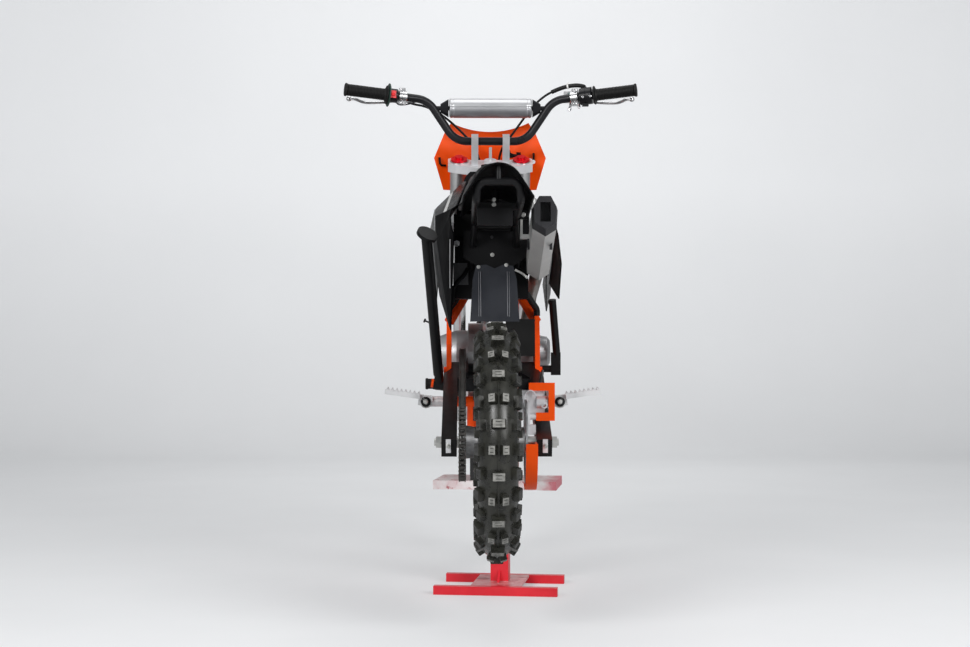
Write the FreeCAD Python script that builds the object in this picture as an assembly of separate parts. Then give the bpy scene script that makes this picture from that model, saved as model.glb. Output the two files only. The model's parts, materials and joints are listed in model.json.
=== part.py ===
import FreeCAD, Part
import math
import os

V = FreeCAD.Vector

# Dirt bike with a 17-inch front and a 14-inch rear wheel, held with both wheels off the floor
# by a lift stand. Millimetres, +X to the rider's right, +Y forward, +Z up, floor at z = 0.
# The origin lies on the floor, midway between the tyres' outermost points.

# Clearances
SEAT_GAP = 0.3
PIN_GAP = 0.3
MOVING_GAP = 5.0

# Wheels
WHEELBASE = 1250.0
LIFT_HEIGHT = 150.0
REAR_TYRE_RADIUS = 268.0
REAR_TYRE_WIDTH = 104.0
REAR_RIM_RADIUS = 178.0
REAR_RIM_WIDTH = 58.0
REAR_KNOB_HEIGHT = 13.0
FRONT_TYRE_RADIUS = 286.0
FRONT_TYRE_WIDTH = 78.0
FRONT_RIM_RADIUS = 216.0
FRONT_RIM_WIDTH = 46.0
FRONT_KNOB_HEIGHT = 11.0
REAR_TREAD_ROWS = 30
FRONT_TREAD_ROWS = 40
REAR_TREAD = (
    # degrees off the crown, width, length, share of the knob height, shift along in rows
    ((0, 28, 18, 1.0, 0), (50, 17, 22, 0.92, 0), (-50, 17, 22, 0.92, 0), (88, 15, 17, 0.7, 0.3),
     (-88, 15, 17, 0.7, 0.3)),
    ((15, 15, 19, 1.0, 0), (-15, 15, 19, 1.0, 0), (58, 18, 24, 0.92, 0), (-58, 18, 24, 0.92, 0),
     (88, 14, 14, 0.62, 0.45), (-88, 14, 14, 0.62, 0.45)),
)
FRONT_TREAD = (
    ((0, 20, 15, 1.0, 0), (54, 14, 18, 0.9, 0), (-54, 14, 18, 0.9, 0)),
    ((18, 12, 16, 1.0, 0), (-18, 12, 16, 1.0, 0), (66, 13, 17, 0.82, 0), (-66, 13, 17, 0.82, 0)),
)
SHOULDER_KNOB = 0.7
CARCASS_ROUND = 0.65
CARCASS_ANGLES = (96, 72, 50, 28, 9)
KNOB_ROOT = 4.0
KNOB_TAPER = 0.9
RIM_LIP = 2.2
RIM_LIP_HEIGHT = 7.0
RIM_DEPTH = 20.0
AXLE_RADIUS = 8.0
SPOKE_RADIUS = 1.9
SPOKES_PER_SIDE = 16
DISC_THICKNESS = 3.6

LENGTH = WHEELBASE + REAR_TYRE_RADIUS + FRONT_TYRE_RADIUS
REAR_AXLE = V(0, REAR_TYRE_RADIUS - LENGTH / 2, LIFT_HEIGHT + REAR_TYRE_RADIUS)
FRONT_AXLE = V(0, LENGTH / 2 - FRONT_TYRE_RADIUS, LIFT_HEIGHT + FRONT_TYRE_RADIUS)

# Steering: the fork's own frame has x across, "ahead" square to the axis, "up" along it
RAKE = 26.5
FORK_OFFSET = 25.0
AXLE_LEAD = 20.0
FORK_SPREAD = 86.0
FORK_TUBE_RADIUS = 26.0
SLIDER_RADIUS = 18.0
SLIDER_TOP = 430.0
LOWER_CLAMP_UP = 594.0
CLAMP_THICKNESS = 24.0
HEAD_TUBE_LENGTH = 150.0
HEAD_TUBE_RADIUS = 25.0
STEM_RADIUS = 13.0
BEARING_GAP = 3.0
BAR_RADIUS = 11.1
BAR_BEND = 62.0
BAR_RISE = 64.0
PAD_RADIUS = 28.5
PAD_HALF_LENGTH = 115.0
PAD_UP = 90.0
GRIP_RADIUS = 16.5
GRIP_LENGTH = 118.0
CABLE_RADIUS = 3.2
PEG_LENGTH = 89.0
PEG_DEPTH = 46.0
PEG_TILT = 8.0

# Frame and swingarm
PIVOT_AHEAD_OF_AXLE = 444.0
PIVOT_OVER_AXLE = 147.0
PLATE_INNER = 104.0
PLATE_THICKNESS = 12.0
BACKBONE_RADIUS = 19.0
DOWN_TUBE_RADIUS = 17.0
RAIL_RADIUS = 12.5
RAIL_SPREAD = 52.0
CRADLE_Z = 402.0
SPAR_RADIUS = 13.0
SUBFRAME_RADIUS = 8.5
STAY_RADIUS = 8.0
PIVOT_RADIUS = 22.0
ARM_HALF_HEIGHT = 20.0
ARM_INNER = 88.0
ARM_THICKNESS = 34.0

# Final drive and brakes
CHAIN_X = -76.0
CHAIN_PITCH = 12.7
REAR_TEETH = 41
FRONT_TEETH = 14
CHAIN_HALF_HEIGHT = 7.0
CHAIN_HALF_WIDTH = 8.5
ROLLER_RADIUS = 3.9
RUNNING_GAP = 0.7
TOOTH_DEPTH = 3.4
LINK_PLATE = 1.5
LINK_HALF_HEIGHT = 5.6
SPROCKET_WINDOWS = 6
WINDOW_CIRCLE = 56.0
WINDOW_RADIUS = 13.0
SPROCKET_THICKNESS = 5.0
REAR_DISC_X = 65.0
REAR_DISC_RADIUS = 95.0
FRONT_DISC_X = -52.0
FRONT_DISC_RADIUS = 110.0

# Bodywork
PANEL_THICKNESS = 3.0
INNER_FENDER_HALF = 74.0
FLAP_TOP_DROP = 96.0
AIRBOX_HALF = 95.0
FENDER_THICKNESS = 3.0
FLANK_RISE = 0.68
FLANK_REACH = 0.58

# Lift stand
STAND_CENTRE = V(22, -36, 0)
STAND_TURN = -8.0
STAND_BAR_LENGTH = 315.0
STAND_BAR = 22.0
STAND_BAR_SPACING = 217.0
STAND_SPINE_WIDTH = 130.0
STAND_POST = 46.0
STAND_GUSSET = 30.0
STAND_TOP_LENGTH = 312.0
STAND_TOP_DEPTH = 184.0
STAND_TOP_THICKNESS = 22.0
STAND_TOP_Z = 290.0
STAND_TOP_BACK = 41.0

PIVOT = REAR_AXLE + V(0, PIVOT_AHEAD_OF_AXLE, PIVOT_OVER_AXLE)
PLATE_OUTER = PLATE_INNER + PLATE_THICKNESS
FORK_TOP = LOWER_CLAMP_UP + 2 * CLAMP_THICKNESS + 2 * BEARING_GAP + HEAD_TUBE_LENGTH
TOP_CLAMP_UP = FORK_TOP - CLAMP_THICKNESS
HEAD_UP = LOWER_CLAMP_UP + CLAMP_THICKNESS + BEARING_GAP

# The fork's own frame
AHEAD = V(0, math.cos(math.radians(RAKE)), math.sin(math.radians(RAKE)))
UP_FORK = V(0, -math.sin(math.radians(RAKE)), math.cos(math.radians(RAKE)))
AXIS_FOOT = FRONT_AXLE - AHEAD * (FORK_OFFSET + AXLE_LEAD)
# Hubs, sprockets and hard points of the frame
FRONT_HUB_HALF = FORK_SPREAD - SLIDER_RADIUS - 8 - SEAT_GAP
REAR_HUB_HALF = 70.0
REAR_PITCH = CHAIN_PITCH / (2 * math.sin(math.pi / REAR_TEETH))
FRONT_PITCH = CHAIN_PITCH / (2 * math.sin(math.pi / FRONT_TEETH))
FRONT_SPROCKET = PIVOT + V(0, 80, 25)
SPINE_END = PIVOT + V(0, 90, 315)
SPAR_FOOT = PIVOT + V(0, 25, 125)
PEG_TUBE = PIVOT + V(0, 30, -75)
STAND_HINGE = PIVOT + V(-134, -18, -30)
HINGE_AXIS = V(0.988, 0, -0.151)
SHOCK_TOP = SPINE_END + V(0, 20, -30)
SHOCK_FOOT = PIVOT + V(0, -85, 45)
SHOCK_EYE_RADIUS = 12.0
SHOCK_EYE_HALF = 11.0
SHOCK_RADIUS = 27.0
ENGINE_FEET_Y = (-90.0, 20.0)
ENGINE_BOSS = 9.0
SUBFRAME_SPREAD = 47.0
TAIL_SPREAD = SUBFRAME_SPREAD
LOOP_Y = REAR_AXLE.y - 226
TAIL_Z = REAR_AXLE.z + 520
LOOP_TOP_Z = TAIL_Z + 36
FLAP_Y = REAR_AXLE.y + 225
SADDLE_Y = REAR_AXLE.y + 84

# Engine and exhaust
CRANK = V(0, PIVOT.y + 185, PIVOT.z + 45)
CASE_HALF = 62.0
CYLINDER_TILT = 9.0
SILENCER_FRONT = V(104, PIVOT.y - 140, PIVOT.z + 253)
SILENCER_REAR = V(102, REAR_AXLE.y - 126, REAR_AXLE.z + 501)
PIPE_RADIUS = 16.0
CAP_LENGTH = 34.0

# Body sections
FENDER_SECTIONS = (
    # y behind the rear axle's, half width, edge height and top height over the axle
    (204, 80, 516, 562),
    (-6, 78, 522, 578),
    (-256, 74, 524, 594),
)
FRONT_FENDER_LINE = (
    # y from the front axle's, half width, edge and top height over the axle
    (-321, 44, 364, 386),
    (-294, 52, 469, 493),
    (-216, 55, 502, 526),
    (-56, 76, 510, 550),
    (124, 72, 515, 550),
    (262, 38, 505, 523),
)
SHROUD_SECTIONS = (
    # y, then (x, z) from the top edge to the bottom edge
    (-90, ((96, 985), (140, 950), (152, 905), (148, 850), (140, 805))),
    (100, ((62, 1082), (152, 995), (170, 915), (160, 770), (150, 722))),
    (285, ((147, 1000), (152, 985), (160, 925), (157, 850), (150, 800))),
)
PANEL_SECTIONS = {
    # y, then (x, z) from the top edge to the bottom edge
    1: ((-90.3, ((112, 955), (148, 940), (158, 900), (156, 850), (148, 790))),
        (-300, ((102, 960), (146, 946), (158, 900), (166, 830), (160, 745)))),
    -1: ((-90.3, ((112, 955), (146, 935), (152, 900), (148, 850), (136, 760))),
         (-300, ((96, 962), (143, 946), (138, 880), (124, 780), (106, 668))),
         (-470, ((84, 962), (102, 950), (106, 935), (104, 912), (98, 890)))),
}
TANK_FRONT = ((72, 930, 1094, 92, 70), (150, 965, 1092, 84, 66))
TANK_REAR = ((-60, 930, 955, 64, 60), (72, 925, 985, 88, 70))
SEAT_SECTIONS = (
    # y, base height, top height, half base width, half top width
    (66, 1002, 1088, 66, 44),
    (-90, 972, 1062, 92, 58),
    (-300, 966, 1064, 92, 62),
    (-500, 972, 1059, 72, 48),
)
PLATE_LINE = (
    # height, half width, how far the edge curls back
    (1067, 131, 30),
    (1155, 157, 42),
    (1227, 128, 34),
    (1257, 109, 28),
)
PLATE_DIP_Z = 1234.0

# Handlebar line
BAR_LINE = (
    # across, behind the clamp, above the clamp
    (0, 0, 0),
    (97, 0, 0),
    (172, 8, 112),
    (392, 62, 132),
)

# Saddles of the lift stand
SADDLE_X = 57.0
SADDLE_DEPTH = 30.0
SADDLE_SPACING = 116.0


# Shapes from points

def one(shape):
    """The single solid of a boolean's result, or its largest one."""
    solids = sorted(shape.Solids, key=lambda solid: solid.Volume)
    return solids[-1]


def fuse(pieces):
    if len(pieces) == 1:
        return pieces[0]
    return pieces[0].multiFuse(pieces[1:]).removeSplitter()


def cylinder(start, end, radius):
    return Part.makeCylinder(radius, (end - start).Length, start, end - start)


def box(low, high):
    size = V(high) - V(low)
    return Part.makeBox(size.x, size.y, size.z, V(low))


def rod(points, radius, bend=40.0):
    """A round bar along straight runs, with a tangent arc at each inner point."""
    points = [V(p) for p in points]
    pieces = []
    start = points[0]
    for i in range(1, len(points) - 1):
        before = (points[i] - points[i - 1]).normalize()
        after = (points[i + 1] - points[i]).normalize()
        turn = before.getAngle(after)
        room = 0.48 * min((points[i] - points[i - 1]).Length, (points[i + 1] - points[i]).Length)
        arc_radius = min(bend, room / math.tan(turn / 2))
        cut = arc_radius * math.tan(turn / 2)
        first = points[i] - before * cut
        axis = before.cross(after).normalize()
        centre = first + axis.cross(before) * arc_radius
        disc = Part.Face(Part.Wire(Part.makeCircle(radius, first, before)))
        pieces.append(cylinder(start, first, radius))
        pieces.append(disc.revolve(centre, axis, math.degrees(turn)))
        start = points[i] + after * cut
    pieces.append(cylinder(start, points[-1], radius))
    return fuse(pieces)


def outline(points, arcs=None):
    """A closed wire through 3D points; arcs maps an edge's number to a point that its arc passes."""
    arcs = arcs or {}
    points = [V(p) for p in points]
    edges = []
    for i, point in enumerate(points):
        following = points[(i + 1) % len(points)]
        if i in arcs:
            edges.append(Part.Arc(point, V(arcs[i]), following).toShape())
        else:
            edges.append(Part.LineSegment(point, following).toShape())
    return Part.Wire(edges)


def side_plate(points, x_low, x_high, arcs=None):
    """An outline in the side view, as (y, z), given a thickness across the bike."""
    arcs = {i: (x_low, y, z) for i, (y, z) in (arcs or {}).items()}
    wire = outline([(x_low, y, z) for y, z in points], arcs)
    return Part.Face(wire).extrude(V(x_high - x_low, 0, 0))


def front_plate(points, y_low, y_high, arcs=None):
    """An outline in the front view, as (x, z), given a length along the bike."""
    arcs = {i: (x, y_low, z) for i, (x, z) in (arcs or {}).items()}
    wire = outline([(x, y_low, z) for x, z in points], arcs)
    return Part.Face(wire).extrude(V(0, y_high - y_low, 0))


def plan_plate(points, z_low, z_high, arcs=None):
    """An outline seen from above, as (x, y), given a height."""
    arcs = {i: (x, y, z_low) for i, (x, y) in (arcs or {}).items()}
    wire = outline([(x, y, z_low) for x, y in points], arcs)
    return Part.Face(wire).extrude(V(0, 0, z_high - z_low))


def turned(points, centre, arcs=None):
    """A ring or disc about the cross axis through a centre, from its section as (x, radius)."""
    arcs = {i: (x, r, 0) for i, (x, r) in (arcs or {}).items()}
    face = Part.Face(outline([(x, r, 0) for x, r in points], arcs))
    ring = face.revolve(V(0, 0, 0), V(1, 0, 0), 360)
    ring.translate(centre)
    return ring


def lofted(sections):
    """A solid through closed sections, each a list of 3D points with its arcs."""
    return Part.makeLoft([outline(points, arcs) for points, arcs in sections], True, True)


def mirrored(shape):
    return shape.mirror(V(0, 0, 0), V(1, 0, 0))


def moved(shape, by):
    copy = shape.copy()
    copy.translate(V(by))
    return copy


def both_sides(shape):
    return [shape, mirrored(shape)]


# The fork's own frame


def fork_point(x, ahead, up):
    return AXIS_FOOT + V(x, 0, 0) + AHEAD * ahead + UP_FORK * up


def in_fork(shape):
    copy = shape.copy()
    copy.rotate(V(0, 0, 0), V(1, 0, 0), RAKE)
    copy.translate(AXIS_FOOT)
    return copy


def fork_cylinder(x, ahead, up_low, up_high, radius):
    return cylinder(fork_point(x, ahead, up_low), fork_point(x, ahead, up_high), radius)


def save(node, *solids):
    shape = solids[0] if len(solids) == 1 else Part.makeCompound(list(solids))
    good = shape.isValid() and all(solid.isClosed() for solid in shape.Solids)
    print(f"{node:20s} solids {len(shape.Solids)} volume {shape.Volume / 1000:.1f} cm3 good {good}")
    shape.exportStep(f"parts/{node}.step")


# Wheels

def carcass_point(radius, width, rim_radius, knob_height, angle):
    """A point on the carcass section and its slope there, at an angle off the crown."""
    half = width / 2 - SHOULDER_KNOB * knob_height
    crown = radius - knob_height
    tall = CARCASS_ROUND * (crown - rim_radius)
    place = V(half * math.sin(angle), crown - tall * (1 - math.cos(angle)), 0)
    return place, math.degrees(math.atan2(tall * math.sin(angle), half * math.cos(angle)))


def carcass(radius, width, rim_radius, rim_width, knob_height):
    """The tyre under its tread, turned from a many-sided section."""
    bead = rim_width / 2 - RIM_LIP - SEAT_GAP
    foot = rim_radius + SEAT_GAP
    lip_top = rim_radius + RIM_LIP_HEIGHT + 1
    flank = [carcass_point(radius, width, rim_radius, knob_height, math.radians(angle))[0]
             for angle in CARCASS_ANGLES]
    right = [(bead, foot), (bead, lip_top)] + [(p.x, p.y) for p in flank]
    left = [(-x, r) for x, r in reversed(right)]
    return turned(right + left, V(0, 0, 0))


def knob(width, length, height):
    """A tapered tread block, standing along +Y with its root sunk into the carcass."""
    half = width / 2 + KNOB_TAPER
    deep = length / 2 + KNOB_TAPER
    return Part.makeWedge(-half, -KNOB_ROOT, -deep, KNOB_TAPER - deep, KNOB_TAPER - half,
                          half, height, deep, deep - KNOB_TAPER, half - KNOB_TAPER)


def tyre(centre, radius, width, rim_radius, rim_width, knob_height, rows, tread):
    """Carcass with rows of tread blocks, each row's blocks from one line of the tread's table."""
    pieces = [carcass(radius, width, rim_radius, rim_width, knob_height)]
    for row in range(rows):
        for angle, across, along, share, shift in tread[row % len(tread)]:
            place, slope = carcass_point(radius, width, rim_radius, knob_height, math.radians(angle))
            block = knob(across, along, share * knob_height)
            block.rotate(V(0, 0, 0), V(0, 0, 1), -slope)
            block.translate(place)
            block.rotate(V(0, 0, 0), V(1, 0, 0), 360 / rows * (row + shift))
            pieces.append(block)
    body = pieces[0].multiFuse(pieces[1:])
    body.translate(centre)
    return one(body)


def rim(centre, radius, width):
    half = width / 2
    lip = radius + RIM_LIP_HEIGHT
    points = [(-half, lip), (-half, radius - 3), (-half * 0.45, radius - RIM_DEPTH),
              (half * 0.45, radius - RIM_DEPTH), (half, radius - 3), (half, lip),
              (half - RIM_LIP, lip), (half - RIM_LIP, radius), (-half + RIM_LIP, radius),
              (-half + RIM_LIP, lip)]
    return turned(points, centre)


def spokes(centre, flange_x, flange_radius, rim_radius):
    """Crossed spokes from both hub flanges to just inside the rim."""
    outer = rim_radius - RIM_DEPTH - SEAT_GAP - 0.6 * SPOKE_RADIUS
    bars = []
    for side in (-1, 1):
        for i in range(SPOKES_PER_SIDE):
            lean = 48 if i % 2 else -48
            at_rim = 360 / SPOKES_PER_SIDE * (i + 0.25 * side)
            at_hub = math.radians(at_rim + lean)
            at_rim = math.radians(at_rim)
            foot = V(side * flange_x, flange_radius * math.cos(at_hub), flange_radius * math.sin(at_hub))
            tip = V(side * 3, outer * math.cos(at_rim), outer * math.sin(at_rim))
            bars.append(cylinder(centre + foot, centre + tip, SPOKE_RADIUS))
    return bars


def disc_holes(centre, x, radius, count):
    holes = []
    for i in range(count):
        turn = math.radians(360 / count * i)
        reach = radius - 10 - 5 * (i % 3)
        place = centre + V(x - DISC_THICKNESS, reach * math.cos(turn), reach * math.sin(turn))
        holes.append(cylinder(place, place + V(2 * DISC_THICKNESS, 0, 0), 3.2))
    return holes


def brake_disc(centre, x, radius, inner):
    """Drilled ring with six arms to its carrier."""
    half = DISC_THICKNESS / 2
    ring = turned([(x - half, radius - 27), (x + half, radius - 27), (x + half, radius),
                   (x - half, radius)], centre)
    arms = []
    for i in range(6):
        arm = Part.makeBox(DISC_THICKNESS, radius - 22 - inner, 14, V(x - half, inner, -7))
        arm.rotate(V(0, 0, 0), V(1, 0, 0), 60 * i)
        arm.translate(centre)
        arms.append(arm)
    return fuse([ring] + arms).cut(Part.makeCompound(disc_holes(centre, x, radius, 30)))


def front_hub():
    flange = 30.0
    bore = AXLE_RADIUS + PIN_GAP
    points = [(-FRONT_HUB_HALF, bore), (FRONT_HUB_HALF, bore), (FRONT_HUB_HALF, 17), (flange, 19),
              (flange, 36), (flange - 6, 36), (flange - 10, 22), (10 - flange, 22), (6 - flange, 36),
              (-flange, 36), (-flange - 3, 26), (FRONT_DISC_X + 1, 26), (FRONT_DISC_X - 1, 26),
              (-FRONT_HUB_HALF, 17)]
    hub = turned(points, FRONT_AXLE)
    disc = brake_disc(FRONT_AXLE, FRONT_DISC_X, FRONT_DISC_RADIUS, 22)
    return one(fuse([hub, disc] + spokes(FRONT_AXLE, flange - 3, 33, FRONT_RIM_RADIUS)))


def rear_hub():
    flange = 36.0
    bore = AXLE_RADIUS + PIN_GAP
    sprocket_seat = CHAIN_X + SPROCKET_THICKNESS / 2 + SEAT_GAP
    points = [(sprocket_seat, bore), (REAR_HUB_HALF, bore), (REAR_HUB_HALF, 22),
              (REAR_DISC_X - 3, 34), (flange, 30), (flange, 42), (flange - 6, 42), (flange - 10, 28),
              (10 - flange, 28), (6 - flange, 42), (-flange, 42), (-flange, 32),
              (sprocket_seat, 38)]
    hub = turned(points, REAR_AXLE)
    disc = brake_disc(REAR_AXLE, REAR_DISC_X, REAR_DISC_RADIUS, 24)
    return one(fuse([hub, disc] + spokes(REAR_AXLE, flange - 3, 39, REAR_RIM_RADIUS)))


def sprocket_disc(centre, radius, bore):
    half = SPROCKET_THICKNESS / 2
    return turned([(CHAIN_X - half, bore), (CHAIN_X + half, bore), (CHAIN_X + half, radius),
                   (CHAIN_X - half, radius)], centre)


def rear_sprocket():
    """Toothed plate with round windows, on the hub's left face."""
    bore = AXLE_RADIUS + PIN_GAP
    tip = REAR_PITCH - ROLLER_RADIUS - RUNNING_GAP
    plate = sprocket_disc(REAR_AXLE, tip, bore)
    cuts = []
    for i in range(SPROCKET_WINDOWS):
        turn = math.tau * (i + 0.5) / SPROCKET_WINDOWS
        cuts.append(cross_bar(REAR_AXLE, WINDOW_CIRCLE, turn, WINDOW_RADIUS))
    for i in range(REAR_TEETH):
        turn = math.tau * i / REAR_TEETH
        cuts.append(cross_bar(REAR_AXLE, tip + ROLLER_RADIUS - TOOTH_DEPTH, turn, ROLLER_RADIUS))
    return one(plate.cut(Part.makeCompound(cuts)))


def cross_bar(centre, reach, turn, radius):
    """A round bar through the sprocket's plane, at a reach and a turn about a wheel's centre."""
    place = centre + V(CHAIN_X - SPROCKET_THICKNESS, reach * math.cos(turn), reach * math.sin(turn))
    return cylinder(place, place + V(2 * SPROCKET_THICKNESS, 0, 0), radius)


def chain_loop(grow):
    """The chain's closed outline in the side view, moved outward by grow from the pitch line."""
    small = FRONT_PITCH + grow
    large = REAR_PITCH + grow
    line = FRONT_SPROCKET - REAR_AXLE
    line.x = 0
    slope = math.atan2(line.z, line.y)
    lean = math.acos((REAR_PITCH - FRONT_PITCH) / line.Length)

    def on(centre, radius, angle):
        return (centre.y + radius * math.cos(angle), centre.z + radius * math.sin(angle))

    points = [on(FRONT_SPROCKET, small, slope + lean), on(REAR_AXLE, large, slope + lean),
              on(REAR_AXLE, large, slope - lean), on(FRONT_SPROCKET, small, slope - lean)]
    arcs = {1: on(REAR_AXLE, large, slope + math.pi), 3: on(FRONT_SPROCKET, small, slope)}
    return points, arcs


def chain_band(low, high, x_low, x_high):
    points, arcs = chain_loop(high)
    outer = side_plate(points, x_low, x_high, arcs)
    points, arcs = chain_loop(low)
    inner = side_plate(points, x_low - 1, x_high + 1, arcs)
    return outer.cut(inner)


def chain_joints():
    """The pins' places one pitch apart round both sprockets."""
    points, arcs = chain_loop(0.0)
    loop = outline([(0, y, z) for y, z in points], {i: (0, y, z) for i, (y, z) in arcs.items()})
    links = 2 * round(loop.Length / CHAIN_PITCH / 2)
    return loop.discretize(Number=links + 1)[:links]


def link_plate(start, end, x, inward):
    """One outer side plate of a link, past its two pins."""
    along = (end - start).normalize() * (0.75 * LINK_HALF_HEIGHT)
    square = V(0, -along.z, along.y) * (1 / 0.75)
    corners = [start - along - square, end + along - square, end + along + square, start - along + square]
    face = Part.Face(Part.makePolygon([V(x, p.y, p.z) for p in corners + corners[:1]]))
    return face.extrude(V(inward * LINK_PLATE, 0, 0))


def chain():
    """Rollers and inner plates as bands, with the outer links' plates over every other pitch."""
    joints = chain_joints()
    inner = CHAIN_HALF_WIDTH - 2 * LINK_PLATE
    pieces = [chain_band(-ROLLER_RADIUS, ROLLER_RADIUS, CHAIN_X - inner, CHAIN_X + inner)]
    tall = LINK_HALF_HEIGHT - 1
    for side in (-1, 1):
        low, high = sorted((CHAIN_X + side * inner, CHAIN_X + side * (inner + LINK_PLATE)))
        pieces.append(chain_band(-tall, tall, low, high))
        for i in range(0, len(joints), 2):
            pieces.append(link_plate(joints[i], joints[i + 1], CHAIN_X + side * (inner + LINK_PLATE), side))
    return one(pieces[0].multiFuse(pieces[1:]))


# Frame


def clevis(eye, towards, depth):
    """Two ears either side of a shock's eye, joined to what carries them."""
    ears = []
    for side in (-1, 1):
        low = side * (SHOCK_EYE_HALF + SEAT_GAP)
        high = side * (SHOCK_EYE_HALF + 6)
        tongue = cylinder(eye + V(low, 0, 0), eye + V(high, 0, 0), SHOCK_EYE_RADIUS)
        run = V(towards).normalize() * depth
        web = Part.makeBox(abs(high - low), 2 * SHOCK_EYE_RADIUS, depth)
        web.translate(V(-abs(high - low) / 2, -SHOCK_EYE_RADIUS, 0))
        turn = FreeCAD.Rotation(V(0, 0, 1), run)
        web.Placement = FreeCAD.Placement(eye + V((low + high) / 2, 0, 0), turn).multiply(web.Placement)
        ears += [tongue, web]
    return ears


def pivot_plate():
    y, z = PIVOT.y, PIVOT.z
    points = [(y - 34, z - 82), (y + 14, z - 86), (y + 70, z - 35), (y + 90, z + 60), (y + 66, z + 138),
              (y - 6, z + 140), (y - 34, z + 70)]
    plate = side_plate(points, PLATE_INNER, PLATE_OUTER)
    window = side_plate([(y + 20, z + 40), (y + 62, z + 50), (y + 48, z + 100), (y + 10, z + 105)],
                        PLATE_INNER - 1, PLATE_OUTER + 1)
    bolt = cylinder(V(PLATE_OUTER, y, z), V(PLATE_OUTER + 7, y, z), 13)
    return fuse([plate.cut(window), bolt])


def main_frame():
    head = fork_cylinder(0, 0, HEAD_UP, HEAD_UP + HEAD_TUBE_LENGTH, HEAD_TUBE_RADIUS)
    spine_start = fork_point(0, -HEAD_TUBE_RADIUS + 6, HEAD_UP + HEAD_TUBE_LENGTH - 32)
    backbone = cylinder(spine_start, SPINE_END, BACKBONE_RADIUS)
    spine_cap = Part.makeSphere(BACKBONE_RADIUS, SPINE_END)
    fork_end = V(0, FRONT_AXLE.y - FRONT_TYRE_RADIUS - 100, CRADLE_Z + 158)
    down_start = fork_point(0, -22, HEAD_UP + 44)
    down = cylinder(down_start, fork_end, DOWN_TUBE_RADIUS)
    gusset = side_plate([(spine_start.y - 60, spine_start.z - 45), (spine_start.y, spine_start.z),
                         (down_start.y, down_start.z), (down_start.y - 9, down_start.z - 75)], -4, 4)
    pieces = [head, backbone, spine_cap, down, gusset, Part.makeSphere(DOWN_TUBE_RADIUS, fork_end)]
    rail = rod([fork_end, (RAIL_SPREAD, fork_end.y - 18, CRADLE_Z + 90),
                (RAIL_SPREAD, fork_end.y - 66, CRADLE_Z), (RAIL_SPREAD, PEG_TUBE.y + 45, CRADLE_Z),
                (RAIL_SPREAD, PEG_TUBE.y, PEG_TUBE.z)], RAIL_RADIUS, 45)
    spar_foot = SPAR_FOOT + V(PLATE_INNER + PLATE_THICKNESS / 2, 0, 0)
    spar = cylinder(SPINE_END, spar_foot, SPAR_RADIUS)
    knuckle = cylinder(V(PLATE_INNER, spar_foot.y, spar_foot.z), V(PLATE_OUTER, spar_foot.y, spar_foot.z), 18)
    for piece in (rail, spar, knuckle, pivot_plate()):
        pieces += both_sides(piece)
    pieces.append(cylinder(PEG_TUBE - V(PLATE_OUTER, 0, 0), PEG_TUBE + V(PLATE_OUTER, 0, 0), 13))
    cross = SPINE_END + V(0, -26, 10)
    pieces.append(cylinder(cross - V(SUBFRAME_SPREAD - SUBFRAME_RADIUS - SEAT_GAP, 0, 0),
                           cross + V(SUBFRAME_SPREAD - SUBFRAME_RADIUS - SEAT_GAP, 0, 0), 11))
    pieces += clevis(SHOCK_TOP, V(0, 0, 1), 26)
    pieces += [cylinder(V(-RAIL_SPREAD, y, CRADLE_Z), V(RAIL_SPREAD, y, CRADLE_Z), ENGINE_BOSS)
               for y in ENGINE_FEET_Y]
    frame = fuse(pieces)
    bore = fork_cylinder(0, 0, HEAD_UP - 5, HEAD_UP + HEAD_TUBE_LENGTH + 5, STEM_RADIUS + PIN_GAP)
    frame = frame.cut(bore)
    hinge_lug = cylinder(STAND_HINGE + HINGE_AXIS * (14 + SEAT_GAP), STAND_HINGE + HINGE_AXIS * 26, 14)
    hinge_pin = cylinder(STAND_HINGE - HINGE_AXIS * 18, STAND_HINGE + HINGE_AXIS * 26, 6)
    hinge_head = cylinder(STAND_HINGE - HINGE_AXIS * 20, STAND_HINGE - HINGE_AXIS * (14 + SEAT_GAP), 11)
    return one(fuse([frame, hinge_lug, hinge_pin, hinge_head]))


def subframe_stay(radius):
    """The right stay, from the pivot plate's top edge up to the seat rail."""
    foot = V(PLATE_INNER + PLATE_THICKNESS / 2, PIVOT.y + 2, PIVOT.z + 140 + SEAT_GAP)
    return rod([foot, foot + V(0, 0, 16), foot + V(-50, -90, 84), (TAIL_SPREAD, SADDLE_Y + 68, TAIL_Z - 22)],
               radius, 22)


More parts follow.
